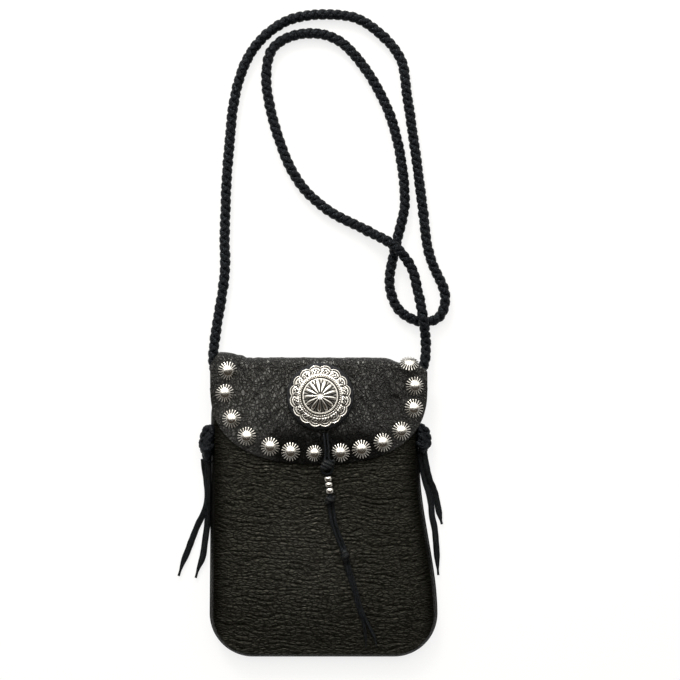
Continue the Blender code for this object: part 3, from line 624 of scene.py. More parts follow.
# %% Laces that hang from the closing knot
LACE_R = 0.0009
LACE_WIDTH = 0.0023
LACE_THICKNESS = 0.0011
LACE_SPACING = 0.0021
BUTTON_KNOT = (0.0025, 0.0269)
BUTTON_KNOT_R = (0.0023, 0.0024, 0.0038)
BEAD_R = 0.0026
MIDDLE_KNOT = (0.0045, 0.0064)
MIDDLE_KNOT_R = (0.0030, 0.0033, 0.0028)
LOWER_KNOT = (0.0143, -0.0306)
LOWER_KNOT_R = (0.0033, 0.0040, 0.0027)
DROP_LACE_ROUTE = ((0.0050, 0.0026), (0.0070, -0.0100), (0.0110, -0.0210), (0.0131, -0.0262))
DROP_TAIL_A_ROUTE = (
    (0.0144, -0.0352), (0.0158, -0.0409), (0.0196, -0.0535), (0.0235, -0.0675),
    (0.0258, -0.0735), (0.0272, -0.0795), (0.0282, -0.0918),
)
DROP_TAIL_B_ROUTE = (
    (0.0165, -0.0352), (0.0179, -0.0409), (0.0217, -0.0535), (0.0256, -0.0675),
    (0.0281, -0.0735), (0.0314, -0.0801), (0.0342, -0.0861), (0.0350, -0.0918),
)


def on_front(x, y, lift):
    return Vector((x, y, front_height(x, y) + GAP + lift))


def drop_route(start, tail_route, offset):
    """From a start, side by side down to the lower knot, through it and on as a loose end."""
    route = list(start)
    for x, y in DROP_LACE_ROUTE:
        route.append(on_front(x + offset, y, LACE_R))
    route.append(on_front(LOWER_KNOT[0] + offset * 0.6, LOWER_KNOT[1], LOWER_KNOT_R[2] * 0.8))
    for x, y in tail_route:
        route.append(on_front(x, y, LACE_R))
    return route


half_spacing = LACE_SPACING / 2 + GAP / 2
lace_start = on_front(BUTTON_KNOT[0], BUTTON_KNOT[1] - BUTTON_KNOT_R[1] - 2 * GAP, BEAD_R)
lace_bottom = on_front(MIDDLE_KNOT[0], MIDDLE_KNOT[1] + MIDDLE_KNOT_R[1] + GAP, BEAD_R)
knot_middle = on_front(MIDDLE_KNOT[0], MIDDLE_KNOT[1], MIDDLE_KNOT_R[2])
route_a = drop_route((lace_start, lace_start.lerp(lace_bottom, 0.5), lace_bottom, knot_middle),
                     DROP_TAIL_A_ROUTE, -half_spacing)
route_b = drop_route((knot_middle + Vector((0.0006, -0.0004, 0)),), DROP_TAIL_B_ROUTE, half_spacing)
front_lace_a, line_a = lace(
    "front_lace_a", route_a, LACE_WIDTH, LACE_THICKNESS, 130, 0.35, 0.06, 0.2, 1.7)
front_lace_b, line_b = lace(
    "front_lace_b", route_b, LACE_WIDTH, LACE_THICKNESS, 110, 0.35, 0.07, 0.2, 4.1)
dress(front_lace_a, "pouch", "braid", "bead_lace", "drop_lace_a", "drop_tail_a")
dress(front_lace_b, "pouch", "braid", "drop_lace_b", "drop_tail_b")
print("front laces:", round(route_length(line_a), 4), round(route_length(line_b), 4))

# %% [markdown]
# ## Lace knots
# A pulled knot of flat lace is seen as a few broad turns that lie over one another.  A real knot's crossings
# would hide inside it, so each knot is one lace wound round a short core, with every turn leaning.

# %% Three wound knots
def wound_knot(name, centre, axis, radii, turns, width, thickness, lean, first_turn):
    """A lace wound round an axis, fuller in the middle, with its ends tucked in."""
    axis = Vector(axis).normalized()
    side = axis.cross(UP).normalized()
    top = side.cross(axis)
    steps = 26 * turns
    path = []
    for index in range(steps + 1):
        turn = 2 * pi * turns * (index / steps) + first_turn
        place = mix(-1, 1, index / steps)
        fullness = mix(0.35, 1, max(1 - abs(place) ** 2.6, 0.0) ** 0.5)
        reach_side = (radii[0] - thickness / 2) * fullness
        reach_top = (radii[2] - thickness / 2) * fullness
        slide = place * (radii[1] - width / 2) + lean * cos(turn)
        path.append(centre + axis * slide + side * reach_side * cos(turn) + top * reach_top * sin(turn))
    rings = []
    for index, place in enumerate(path):
        along = (path[min(index + 1, steps)] - path[max(index - 1, 0)]).normalized()
        outward = place - centre
        outward -= axis * outward.dot(axis) * 0.75
        outward = (outward - along * outward.dot(along)).normalized()
        section = oval(width / 2, thickness / 2, LACE_SIDES, 2.0)
        rings.append(strip_ring(place, along.cross(outward), outward, section))
    knot = mesh_piece(name, *loft(rings))
    # A painted highlight along the middle of each turn.
    paint_lace_highlight(knot, 0.80)
    return knot


button_centre = on_front(*BUTTON_KNOT, BUTTON_KNOT_R[2])
button_head = button_centre + Vector((0.0003, 0.0027, 0.0036))
lower_centre = on_front(*LOWER_KNOT, LOWER_KNOT_R[2])
middle_full_r = (MIDDLE_KNOT_R[0] * 1.12, MIDDLE_KNOT_R[1] * 1.10, MIDDLE_KNOT_R[2])
WINDINGS = {
    "button_knot": (
        "closing_knot", button_head, (0.75, 1, 0), (0.0040, 0.0047, 0.0023), 3, 0.0027, 0.0019, 0.0011, 0.6),
    "middle_knot": (
        "knot_under_beads", knot_middle, (0.55, 1, 0), middle_full_r, 2, 0.0030, 0.0013, 0.0008, 1.2),
    "lower_knot": (
        "lower_lace_knot", lower_centre, (-0.55, 1, 0), LOWER_KNOT_R, 2, 0.0032, 0.0013, 0.0009, 2.0),
}
CORES = {
    "button_knot": ((button_head, (0.0027, 0.0030, 0.0008)), (button_centre, (0.0019, 0.0020, 0.0038))),
    "middle_knot": ((knot_middle, (0.0023, 0.0026, 0.0020)),),
    "lower_knot": ((lower_centre, (0.0024, 0.0031, 0.0019)),),
}
knots = {}
for node, winding in WINDINGS.items():
    knots[node] = wound_knot(*winding)
    for core_centre, core_radii in CORES[node]:
        join_core(knots[node], core_centre, core_radii)
    dress(knots[node], "pouch", "braid", node)
print("knots:", len(knots))

# %% [markdown]
# ## Closing loop
# A doubled lace comes from under the concho's disc, runs down the flap and passes round the closing knot.
# Its two legs lie on the flap, and its end dips to the height of the knot, so the route is made of both legs
# with part of a circle between them.

# %% Loop round the closing knot
LOOP_LEG_ROUTE = ((0.0003, 0.0500), (0.0010, 0.0440), (0.0015, 0.0380), (0.0014, 0.0345))
LOOP_GAP = 0.0004
LOOP_MOUTH_TURN = 0.85
LOOP_STEPS = 8
LOOP_WIDTH, LOOP_THICKNESS = 0.0018, 0.0017
BEAD_LACE_R = 0.0008


def over_flap(x, y):
    return Vector((x, y, flap_height(x, y) + GAP + LACE_R))


side_reach = BUTTON_KNOT_R[0] + LOOP_GAP + LACE_R
down_reach = BUTTON_KNOT_R[1] + LOOP_GAP + LACE_R
loop_left = [over_flap(x, y) for x, y in LOOP_LEG_ROUTE]
loop_right = [over_flap(x + LACE_SPACING, y) for x, y in LOOP_LEG_ROUTE]
loop_end_z = on_front(*BUTTON_KNOT, BEAD_R + BEAD_LACE_R + GAP + LACE_R).z
loop_start_z = loop_left[-1].z + GAP
loop_turn = []
for step in range(LOOP_STEPS + 1):
    turn = pi / 2 + mix(LOOP_MOUTH_TURN, 2 * pi - LOOP_MOUTH_TURN, step / LOOP_STEPS)
    x = BUTTON_KNOT[0] + side_reach * cos(turn)
    y = BUTTON_KNOT[1] + down_reach * sin(turn)
    share = (BUTTON_KNOT[1] + down_reach - y) / (2 * down_reach)
    loop_turn.append(Vector((x, y, mix(loop_start_z, loop_end_z, share))))
loop_route = loop_left + loop_turn + loop_right[::-1]
closing_loop, loop_line = lace("closing_lace", loop_route, LOOP_WIDTH, LOOP_THICKNESS, 110)
dress(closing_loop, "flap", "braid", "closing_loop")
print("loop length:", round(route_length(loop_line), 4))

# %% [markdown]
# ## Turned pieces
# Spots, beads, concho and disc are all round, as if pressed or turned.  One vertex is extruded step by step
# into half a section, and the spin operator turns that line into a closed body.  Its doubles are merged and
# its normals recalculated before anything else is done to it.

# %% Spin a profile
import bmesh


def spin_profile(name, profile, steps):
    """A turned body from (radius, height) pairs, which start and end on the axis."""
    bpy.ops.object.select_all(action="DESELECT")
    bpy.ops.mesh.primitive_plane_add(size=0.001)
    piece = bpy.context.object
    piece.name = name
    piece.data.name = name
    bpy.ops.object.mode_set(mode="EDIT")
    bpy.ops.mesh.select_all(action="SELECT")
    bpy.ops.mesh.merge(type="CENTER")
    shape = bmesh.from_edit_mesh(piece.data)
    shape.verts.ensure_lookup_table()
    shape.verts[0].co = (profile[0][0], 0, profile[0][1])
    bmesh.update_edit_mesh(piece.data)
    for (radius, height), (next_radius, next_height) in zip(profile, profile[1:]):
        shift = (next_radius - radius, 0, next_height - height)
        bpy.ops.mesh.extrude_region_move(TRANSFORM_OT_translate={"value": shift})
    bpy.ops.mesh.select_all(action="SELECT")
    bpy.ops.mesh.spin(steps=steps, angle=2 * pi, center=(0, 0, 0), axis=(0, 0, 1))
    bpy.ops.mesh.select_all(action="SELECT")
    bpy.ops.mesh.remove_doubles(threshold=0.000005)
    bpy.ops.mesh.normals_make_consistent(inside=False)
    bpy.ops.object.mode_set(mode="OBJECT")
    return piece


def shape_piece(piece, place):
    """Moves each vertex of a finished spin to where the function says, and keeps a mask of its hollows."""
    depths = []
    for vertex in piece.data.vertices:
        vertex.co, depth = place(vertex.co.copy())
        depths.append(depth)
    point_mask(piece, "hollow", depths)
    piece.data.update()


def stand_on(piece, place, direction):
    """Puts a piece on a face of the bag, with its place in its mesh."""
    turn = direction.to_track_quat("Z", "Y").to_matrix().to_4x4()
    piece.data.transform(Matrix.Translation(place) @ turn)


print("spin helpers: 3")


# %% [markdown]
# ## The flap's face and edge
# The spots sit on the flap, most of them at the same distance from its edge.  So their places are kept as
# two numbers, a share of the way along the edge and a distance from it, and two functions turn them into a
# point on the leather and the direction that it faces.

# %% Points on the flap
STUD_R, SMALL_STUD_R = 0.0064, 0.0056
FLAP_CENTRE_X, FLAP_HALF_WIDTH, FLAP_LENGTH = -0.0030, 0.0718, 0.0702
FLAP_ROUND = 0.7108 * FLAP_LENGTH
FLAP_POWER = 2.45
RIM_STEPS = 360


def flap_face(x, y):
    """Point on the flap's outer face above (x, y), and the direction that it faces."""
    if y > FOLD_Y:
        turn = asin(clamp((y - FOLD_Y) / FOLD_R))
        return Vector((x, y, FOLD_R + FOLD_R * cos(turn))), Vector((0, sin(turn), cos(turn)))
    step = STUD_R / 2
    slope_x = (flap_height(x + step, y) - flap_height(x - step, y)) / (2 * step)
    slope_y = (flap_height(x, min(y + step, FOLD_Y)) - flap_height(x, y - step)) / (2 * step)
    return Vector((x, y, flap_height(x, y))), Vector((-slope_x, -slope_y, 1)).normalized()


def flap_rim(share):
    """Point on the flap's edge, as a share of the way from its lowest point to the crest."""
    rim = []
    for step in range(RIM_STEPS + 1):
        turn = pi / 2 * (1 - step / RIM_STEPS)
        x = FLAP_HALF_WIDTH * abs(cos(turn)) ** (2 / FLAP_POWER)
        y = CREST_Y - FLAP_LENGTH + FLAP_ROUND * (1 - sin(turn) ** (2 / FLAP_POWER))
        rim.append(Vector((x, y)))
    rim.append(Vector((FLAP_HALF_WIDTH, CREST_Y)))
    left = abs(share) * route_length(rim)
    for start, end in zip(rim, rim[1:]):
        length = (end - start).length
        if left <= length:
            break
        left -= length
    along = (end - start).normalized()
    point = start + along * left
    inward = Vector((-along.y, along.x))
    if share < 0:
        point.x = -point.x
        inward.x = -inward.x
    point.x += FLAP_CENTRE_X
    return point, inward


print("lowest point of the flap:", flap_rim(0)[0])

# %% [markdown]
# ## Silver spots
# Each spot is a thin domed disc, pressed with fine rays that run from half way up the dome to a notched rim.
# Its rays are geometry, because they make the glitter: the spin has twelve steps to a ray, and the steps
# between two rays are pushed down and in.  One spot is shaped and then copied to fourteen places.  The spots
# at the flap's top corners lean, because the leather bends there.

# %% One spot and its thirteen copies
STUD_HEIGHT = 0.0034
STUD_RAYS = 19
STEPS_PER_RAY = 12
SPOT_LEANS = {1: (0.18, -0.06), 2: (0.10, -0.04), 14: (0.04, 0.48)}
SPOT_SHIFTS = {1: (0.0, 0.0, 0.0007), 14: (0.0, -0.0012, 0.0)}
SMALL_STUD = 7
STUD_PLACES = (
    (-0.9270, 0.0114), (-0.8022, 0.0095), (-0.6125, 0.0097), (-0.4485, 0.0086),
    (-0.2863, 0.0084), (-0.1606, 0.0075), (-0.0241, 0.0072), (0.1232, 0.0072),
    (0.2480, 0.0076), (0.3845, 0.0075), (0.5251, 0.0071), (0.7032, 0.0076),
    (0.8438, 0.0082), (0.9728, 0.0120),
)


def rayed_dome(point):
    """The spot's rays: between them the metal falls away, down to a rim like a star."""
    radius = hypot(point.x, point.y)
    share = radius / STUD_R
    wave = 0.5 - 0.5 * cos(STUD_RAYS * atan2(point.y, point.x))
    reach = smooth((share - 0.44) / 0.30)
    valley = smooth((wave - mix(0.56, 0.24, reach)) / 0.26)
    pull = 1 - 0.22 * valley * smooth((share - 0.72) / 0.26)
    if point.z < 0.0002:
        return Vector((point.x * pull, point.y * pull, point.z)), 0.0
    drop = 0.00120 * valley * reach * clamp(point.z / 0.0019)
    return Vector((point.x * pull, point.y * pull, point.z - drop)), valley * smooth((share - 0.48) / 0.10)


dome = [(STUD_R * share, STUD_HEIGHT * height) for share, height in (
    (0.0, 1.0), (0.10, 0.996), (0.20, 0.980), (0.30, 0.950), (0.38, 0.910), (0.46, 0.850), (0.54, 0.768),
    (0.62, 0.665), (0.70, 0.545), (0.78, 0.420), (0.86, 0.300), (0.93, 0.205), (1.0, 0.130), (1.0, 0.030),
    (0.96, 0.0), (0.0, 0.0),
)]
first_spot = spin_profile("spot", dome, STEPS_PER_RAY * STUD_RAYS)
shape_piece(first_spot, rayed_dome)
first_spot.data.shade_smooth()
spots = []
for number, (edge_share, inset) in enumerate(STUD_PLACES, 1):
    rim_point, inward = flap_rim(edge_share)
    spot_place = rim_point + inward * inset
    face, facing = flap_face(spot_place.x, spot_place.y)
    facing = (facing + Vector((*SPOT_LEANS.get(number, (0, 0)), 0))).normalized()
    spot = first_spot.copy()
    spot.data = first_spot.data.copy()
    spot.name = f"silver_spot_{number:02d}"
    scene.collection.objects.link(spot)
    size = SMALL_STUD_R / STUD_R if number == SMALL_STUD else 1.0
    spot.data.transform(Matrix.Scale(size, 4) @ Matrix.Rotation(0.37 * number, 4, "Z"))
    stand_on(spot, face + facing * GAP + Vector(SPOT_SHIFTS.get(number, (0, 0, 0))), facing)
    dress(spot, "flap", "silver", f"stud_{number:02d}")
    spots.append(spot)
bpy.data.objects.remove(first_spot)
print("spots:", len(spots), "faces in each:", len(spots[0].data.polygons))

# %% [markdown]
# ## Concho
# The concho is a pressed plate with sixteen scallops.  From its edge inwards it has a bright rolled lip,
# engraved arcs, a row of dots, a ring of rope pattern and a dome with thirteen raised, club-shaped rays.
# Engraving it with cuts would take thousands of faces with bad corners.  A spin gives an even polar mesh, and
# each pattern is a height and a mask of hollows that depend on the radius and the turn.

# %% Patterns of the concho's edge and band
CONCHO_R = 0.0205
CONCHO_SCALLOPS = 16
SCALLOP_DEPTH = 0.0017
ROPE_R, ROPE_WIDTH = 0.0134, 0.0013


def bump(distance, width):
    """A soft ridge, 1 in its middle and 0 beyond its width."""
    return smooth(1 - abs(distance) / width)


def scalloped_edge(turn):
    """How far a turn lies from a notch, from 0 to 1, and the plate's radius there."""
    share = abs(sin(CONCHO_SCALLOPS * turn / 2))
    return share, CONCHO_R - SCALLOP_DEPTH * (1 - share ** 0.62)


def edge_pattern(from_edge, scallop_share, turn):
    """The rolled lip, the groove inside it, a second arc and a stamped row."""
    lip = bump(from_edge - 0.00045, 0.00060)
    groove = bump(from_edge - 0.00120, 0.00050)
    arc = bump(from_edge - 0.00255 - 0.0007 * (1 - scallop_share), 0.00042)
    stamp_wave = 0.5 + 0.5 * cos(CONCHO_SCALLOPS * 6 * turn)
    stamp = bump(from_edge - 0.00190, 0.00045) * stamp_wave
    between_stamps = bump(from_edge - 0.00190, 0.0006) * (1 - stamp_wave)
    height = 0.00045 * lip - 0.00030 * groove - 0.00022 * arc + 0.00014 * stamp
    return height, max(0.85 * groove, 0.80 * arc, 0.35 * between_stamps)


def band_pattern(radius, turn, from_edge, scallop_share):
    """The woven band, a crease behind each notch and a dot at every second scallop."""
    band = smooth((from_edge - 0.0022) / 0.0006) * smooth((radius - 0.0146) / 0.0005)
    weave = 0.5 + 0.5 * cos(48 * turn + 1.2 * sin(radius * 1400)) * cos(2 * pi * radius / 0.0019)
    crease = bump(scallop_share * radius * 2 / CONCHO_SCALLOPS, 0.00040) * bump(radius - 0.0168, 0.0022)
    dot_turn = (turn - pi * 3 / 16 + pi / 8) % (pi / 4) - pi / 8
    dot = bump(hypot(radius - 0.0158, dot_turn * 0.0158), 0.00080)
    height = 0.00024 * weave * band - 0.00022 * crease - 0.00060 * dot
    return height, max(band * clamp(1.5 * (1 - weave) - 0.35), 0.8 * crease, min(1.0, 1.8 * dot))


print("radius at a notch and at a scallop:", scalloped_edge(0)[1], scalloped_edge(pi / CONCHO_SCALLOPS)[1])

# %% [markdown]
# The middle of the plate is a dome inside a ring of rope.  Its rays are narrow at the centre and round at
# their outer ends, and the ground between them is sunk and black.

# %% Patterns of the concho's rope and dome
PETALS = 13
DOME_R = 0.0121


def rope_pattern(radius, turn):
    """The ring of rope and the ditch between it and the dome."""
    rope = bump(radius - ROPE_R, ROPE_WIDTH * 0.75)
    rope_wave = 0.5 + 0.5 * cos(64 * turn + (radius - ROPE_R) * 1500)
    ditch = bump(radius - DOME_R - 0.00020, 0.00055)
    between_strands = (1 - rope_wave) ** 1.5 * bump(radius - ROPE_R, ROPE_WIDTH * 0.7)
    return (0.00045 + 0.00030 * rope_wave) * rope - 0.00050 * ditch, max(0.9 * between_strands, ditch)


def dome_pattern(radius, turn):
    """The dome and its raised rays, each with a dark outline."""
    if radius >= DOME_R:
        return 0.0, 0.0
    share = radius / DOME_R
    dome = 0.0037 * (1 - share ** 2.4) + 0.0006 * smooth((1 - share) / 0.05)
    period = 2 * pi / PETALS
    aside = abs((turn + period / 2 - 0.06) % period - period / 2) * radius
    half_width = mix(0.00038, 0.00135, smooth((share - 0.06) / 0.62))
    end_share = 0.88 - 0.10 * min(aside / half_width, 1.4) ** 2
    rib = max(1 - (aside / half_width) ** 2, 0.0) ** 0.5 * smooth((end_share - share) / 0.06)
    between = smooth((share - 0.07) / 0.16) * smooth((0.95 - share) / 0.05)
    outline = bump(aside - half_width - 0.00010, 0.00055) * smooth((0.92 - share) / 0.04)
    hollow = between * clamp(0.34 * (1 - rib) + 0.80 * outline)
    return dome + 0.00100 * rib * between - 0.00050 * between, hollow


print("rays:", PETALS, "height of the dome:", round(dome_pattern(0.0, 0.0)[0], 5))

# %% [markdown]
# Now the plate itself.  A spin of seventy-four rings is pressed by all four patterns at once, and its edge is
# pulled in between the scallops.  The concho leans with the flap, on top of its leather disc.

# %% Press the concho
CONCHO_CENTRE = (-0.0020, 0.0740)
CONCHO_TILT = 0.0895
DISC_R, DISC_THICKNESS = 0.0223, 0.0030
RINGS = 74
BLANK_HEIGHT, LIP_HEIGHT = 0.0020, 0.0010


def concho_height(radius, turn):
    """Height of the plate and how much of a hollow is there, at a radius and a turn."""
    scallop_share, edge = scalloped_edge(turn)
    from_edge = edge - radius
    patterns = (
        edge_pattern(from_edge, scallop_share, turn), band_pattern(radius, turn, from_edge, scallop_share),
        rope_pattern(radius, turn), dome_pattern(radius, turn))
    height = 0.0016 + 0.0010 * smooth(from_edge / 0.0060) + sum(rise for rise, _ in patterns)
    return height, clamp(max(hollow for _, hollow in patterns))


def press_concho(point):
    radius = hypot(point.x, point.y)
    turn = atan2(point.y, point.x)
    outer = smooth((radius / CONCHO_R - 0.70) / 0.30)
    pull = mix(1, scalloped_edge(turn)[1] / CONCHO_R, outer)
    if point.z <= 0.0:
        return Vector((point.x * pull, point.y * pull, point.z)), 0.5
    height, hollow = concho_height(radius * pull, turn)
    if point.z < LIP_HEIGHT + 0.0001:
        height = min(height, point.z)
    return Vector((point.x * pull, point.y * pull, height)), hollow


concho_profile = [(CONCHO_R * ring / RINGS, BLANK_HEIGHT) for ring in range(RINGS + 1)]
concho_profile += [(CONCHO_R, LIP_HEIGHT), (CONCHO_R * 0.995, 0.0), (0.0, 0.0)]
concho = spin_profile("pressed_concho", concho_profile, CONCHO_SCALLOPS * 20)
shape_piece(concho, press_concho)
concho.data.shade_smooth()
rest_height = 0
for low_y in (CONCHO_CENTRE[1] - DISC_R, CONCHO_CENTRE[1], min(CONCHO_CENTRE[1] + DISC_R, FOLD_Y)):
    lean = (low_y - CONCHO_CENTRE[1]) * sin(CONCHO_TILT) / cos(CONCHO_TILT)
    rest_height = max(rest_height, flap_height(CONCHO_CENTRE[0], low_y) + lean)
concho_face = Vector((*CONCHO_CENTRE, rest_height))
concho_facing = Vector((0, sin(CONCHO_TILT), cos(CONCHO_TILT)))
stand_on(concho, concho_face + concho_facing * (2 * GAP + DISC_THICKNESS), concho_facing)
dress(concho, "flap", "silver", "concho")
print("concho faces:", len(concho.data.polygons))

# %% [markdown]
# ## Leather disc
# A thick disc of harness leather lifts the concho off the soft flap.  Its edge is rounded by hand, so it
# wanders a little.

# %% Disc behind the concho
DISC_EDGE = 0.0012
edge_profile = [((DISC_R - DISC_EDGE) * step / 8, DISC_THICKNESS) for step in range(9)]
for step in range(1, 13):
    turn = pi / 2 - pi * step / 12
    edge_profile.append((DISC_R - DISC_EDGE + DISC_EDGE * cos(turn), DISC_THICKNESS / 2 * (1 + sin(turn))))
edge_profile.append((0.0, 0.0))


def wander(point):
    uneven = noise.noise(Vector((point.x * 160, point.y * 160, point.z * 200)))
    pull = 1 + 0.010 * uneven * smooth(hypot(point.x, point.y) / DISC_R)
    return Vector((point.x * pull, point.y * pull, point.z)), 0.0


disc = spin_profile("leather_disc", edge_profile, 96)
shape_piece(disc, wander)
disc.data.shade_smooth()
stand_on(disc, concho_face + concho_facing * GAP, concho_facing)
dress(disc, "flap", "body_leather", "concho_backing")
print("disc faces:", len(disc.data.polygons))

# %% [markdown]
# ## Beads
# Three small silver beads sit on the front lace.  The first is flatter and the other two are round, and
# their edges are pressed in round the bore.

# %% Three beads on the lace
BEAD_LENGTHS = (0.0035, 0.0035, 0.0040)
BEAD_GAP = 0.0003
BORE_R = 0.0009
BORE_DEPTH = 0.0004
along_lace = (lace_bottom - lace_start).normalized()
bead_place = (lace_bottom - lace_start).length - sum(BEAD_LENGTHS) - BEAD_GAP * len(BEAD_LENGTHS)
beads = []
for number, length in enumerate(BEAD_LENGTHS, 1):
    bead_profile = [(0.0, length / 2 - BORE_DEPTH), (BORE_R, length / 2)]
    for step in range(1, 12):
        turn = pi * step / 12
        radius = BEAD_R * (0.53 + 0.54 * sin(turn) ** (0.55 if number == 1 else 0.85))
        bead_profile.append((radius, length / 2 * cos(turn)))
    bead_profile += [(BORE_R, -length / 2), (0.0, -length / 2 + BORE_DEPTH)]
    bead = spin_profile(f"silver_bead_{number}", bead_profile, 32)
    shape_piece(bead, lambda point: (point, smooth((abs(point.z) / (length / 2) - 0.72) / 0.28)))
    bead.data.shade_smooth()
    stand_on(bead, lace_start + along_lace * (bead_place + length / 2), along_lace)
    dress(bead, "pouch", "silver", f"bead_{number}")
    beads.append(bead)
    bead_place += length + BEAD_GAP
print("beads:", len(beads))

# %% [markdown]
# ## Leather sheets
# A sheet starts as a flat grid, and a function carries each of its points to its place in the middle of the
# leather's thickness.  Modifiers then give it two faces and a rounded cut edge.  The function also says how
# deep in a crease a point lies, how much painted shade it takes and how much wear and painted sheen it has,
# and the grid keeps these as masks.

# %% Lay a grid as a leather sheet
def draped_grid(name, columns, rows, place):
    """A grid whose points go where the function says, with masks of creases, painted shade, and wear and
    painted sheen.
    """
    bpy.ops.object.select_all(action="DESELECT")
    bpy.ops.mesh.primitive_grid_add(x_subdivisions=columns, y_subdivisions=rows, size=2)
    piece = bpy.context.object
    piece.name = name
    piece.data.name = name
    masks = []
    for vertex in piece.data.vertices:
        vertex.co, *point_masks = place((vertex.co.x + 1) / 2, (vertex.co.y + 1) / 2)
        masks.append(point_masks)
    for mask, values in zip(("hollow", "shade", "wear_and_sheen"), zip(*masks)):
        point_mask(piece, mask, values)
    piece.data.update()
    return piece


def apply_modifiers(piece):
    bpy.ops.object.select_all(action="DESELECT")
    piece.select_set(True)
    bpy.context.view_layer.objects.active = piece
    for modifier in list(piece.modifiers):
        bpy.ops.object.modifier_apply(modifier=modifier.name)


def give_thickness(piece, thickness, rim):
    """Turns a surface into leather of one thickness, with its cut edge rounded."""
    wall = piece.modifiers.new("leather", "SOLIDIFY")
    wall.thickness = thickness
    wall.offset = 0
    wall.use_even_offset = False
    edge = piece.modifiers.new("rim", "BEVEL")
    edge.width = rim
    edge.segments = 2
    edge.limit_method = "ANGLE"
    edge.angle_limit = pi / 3
    apply_modifiers(piece)
    piece.data.shade_smooth()


print("sheet helpers: 3, leather in mm:", LEATHER * 1000)

# %% [markdown]
# ## Marks of use on the flap
# Use has creased the flap: gathers by the fold, creases that run out from the disc, and corners that lie on
# the strap.  Each crease is a line between two points with a depth and a width, bent by noise, so it can be
# moved by its numbers and doesn't depend on one mesh, as sculpting would.

# %% Creases, gathers, and places of wear and painted sheen
FLAP_CREASES = (
    ((0.0422, 0.0881), (0.0495, 0.0748), 0.00075, 0.0022),
    ((0.0392, 0.0860), (0.0452, 0.0702), -0.00060, 0.0015),
    ((0.0229, 0.0768), (0.0362, 0.0529), -0.00050, 0.0013),
    ((0.0283, 0.0815), (0.0409, 0.0635), -0.00040, 0.0012),
    ((0.0190, 0.0582), (0.0296, 0.0416), -0.00045, 0.0012),
    ((-0.0156, 0.0502), (-0.0223, 0.0349), -0.00045, 0.0012),
    ((-0.0209, 0.0615), (-0.0356, 0.0449), -0.00045, 0.0013),
    ((-0.0256, 0.0682), (-0.0409, 0.0549), -0.00040, 0.0013),
    ((-0.0300, 0.0900), (-0.0480, 0.0700), -0.00030, 0.0016),
    ((0.0050, 0.0500), (0.0110, 0.0360), -0.00035, 0.0012),
)
# Each place is lighter and greyer leather: partly wear, and partly a painted sheen where light catches the
# flap.
SHEEN_AND_WEAR_PLACES = (
    (-0.040, 0.070, 0.022, 0.022, 0.9), (-0.020, 0.092, 0.030, 0.010, 0.9),
    (0.034, 0.092, 0.020, 0.012, 0.6), (0.046, 0.082, 0.006, 0.010, 0.9),
    (-0.066, 0.084, 0.007, 0.016, 0.5), (0.036, 0.062, 0.014, 0.016, 0.35),
)


def puckers(x, y, strength):
    """Small uneven folds in soft leather."""
    wide = noise.noise(Vector((x * 55, y * 55, 0.3)))
    fine = noise.noise(Vector((x * 190, y * 190, 4.1)))
    return strength * (0.7 * wide + 0.3 * fine)


def creases(x, y):
    """Height of the flap's creases, and how deep in one the point lies."""
    height, deepest = 0.0, 0.0
    for (start_x, start_y), (end_x, end_y), depth, width in FLAP_CREASES:
        run_x, run_y = end_x - start_x, end_y - start_y
        length = hypot(run_x, run_y)
        along = ((x - start_x) * run_x + (y - start_y) * run_y) / length ** 2
        if not -0.2 < along < 1.2:
            continue
        aside = ((x - start_x) * run_y - (y - start_y) * run_x) / length
        aside += 0.0016 * noise.noise(Vector((x * 120, y * 120, length * 900)))
        share = exp(-(aside / width) ** 2) * smooth((along + 0.2) / 0.35) * smooth((1.2 - along) / 0.35)
        height += depth * share
        if depth < 0:
            deepest = max(deepest, share)
    gathers = noise.noise(Vector((x * 330 + 1.5 * noise.noise(Vector((x * 60, y * 60, 2))), y * 60, 9.0)))
    gather_share = smooth((y - 0.076) / 0.012) * smooth((-0.010 - x) / 0.01) * smooth((x + 0.066) / 0.01)
    height += 0.00034 * gathers * gather_share
    return height, max(deepest * 0.7, smooth(-gathers * 1.6) * gather_share * 0.6)


def over_strap(x, y):
    """Bulge of the flap's corners, which lie on the strap."""
    left = exp(-((x + 0.0745) / 0.0085) ** 2) * 0.0026
    right = exp(-((x - 0.0690) / 0.0070) ** 2) * 0.0014
    return (left + right) * smooth((y - 0.066) / 0.022)


def wear_and_sheen_at(x, y):
    """Where the flap is lighter and greyer: wear from hands and the strap, and painted sheen."""
    wear_and_sheen = 0.0
    for patch_x, patch_y, half_x, half_y, amount in SHEEN_AND_WEAR_PLACES:
        wear_and_sheen += amount * exp(-((x - patch_x) / half_x) ** 2 - ((y - patch_y) / half_y) ** 2)
    return clamp(wear_and_sheen * (0.8 + 0.8 * noise.noise(Vector((x * 90, y * 90, 12.0)))))


print("creases:", len(FLAP_CREASES), "rubbed places:", len(SHEEN_AND_WEAR_PLACES))

# %% [markdown]
# ## The fold and the foot
# The sheet's two ends are a round foot and a round flap, and between them the fold isn't straight.  Its right
# corner sags, and its left corner is pushed up like an ear by the strap behind it.

# %% Lines that the sheet follows
CREST_INSET, CREST_EASE = 0.0058, 0.0100
EAR_RISE = 0.0036
CREST_DROP = 0.0042
BACK_FEET = foot_points(0, 20, 60)


def crest_inset(distance):
    return CREST_INSET * (1 - smooth((distance - FOLD_R * pi / 2) / CREST_EASE))


def ear(x):
    return 0.55 * smooth((-0.0505 - x) / 0.0060) + 0.45 * smooth((-0.0560 - x) / 0.0080)


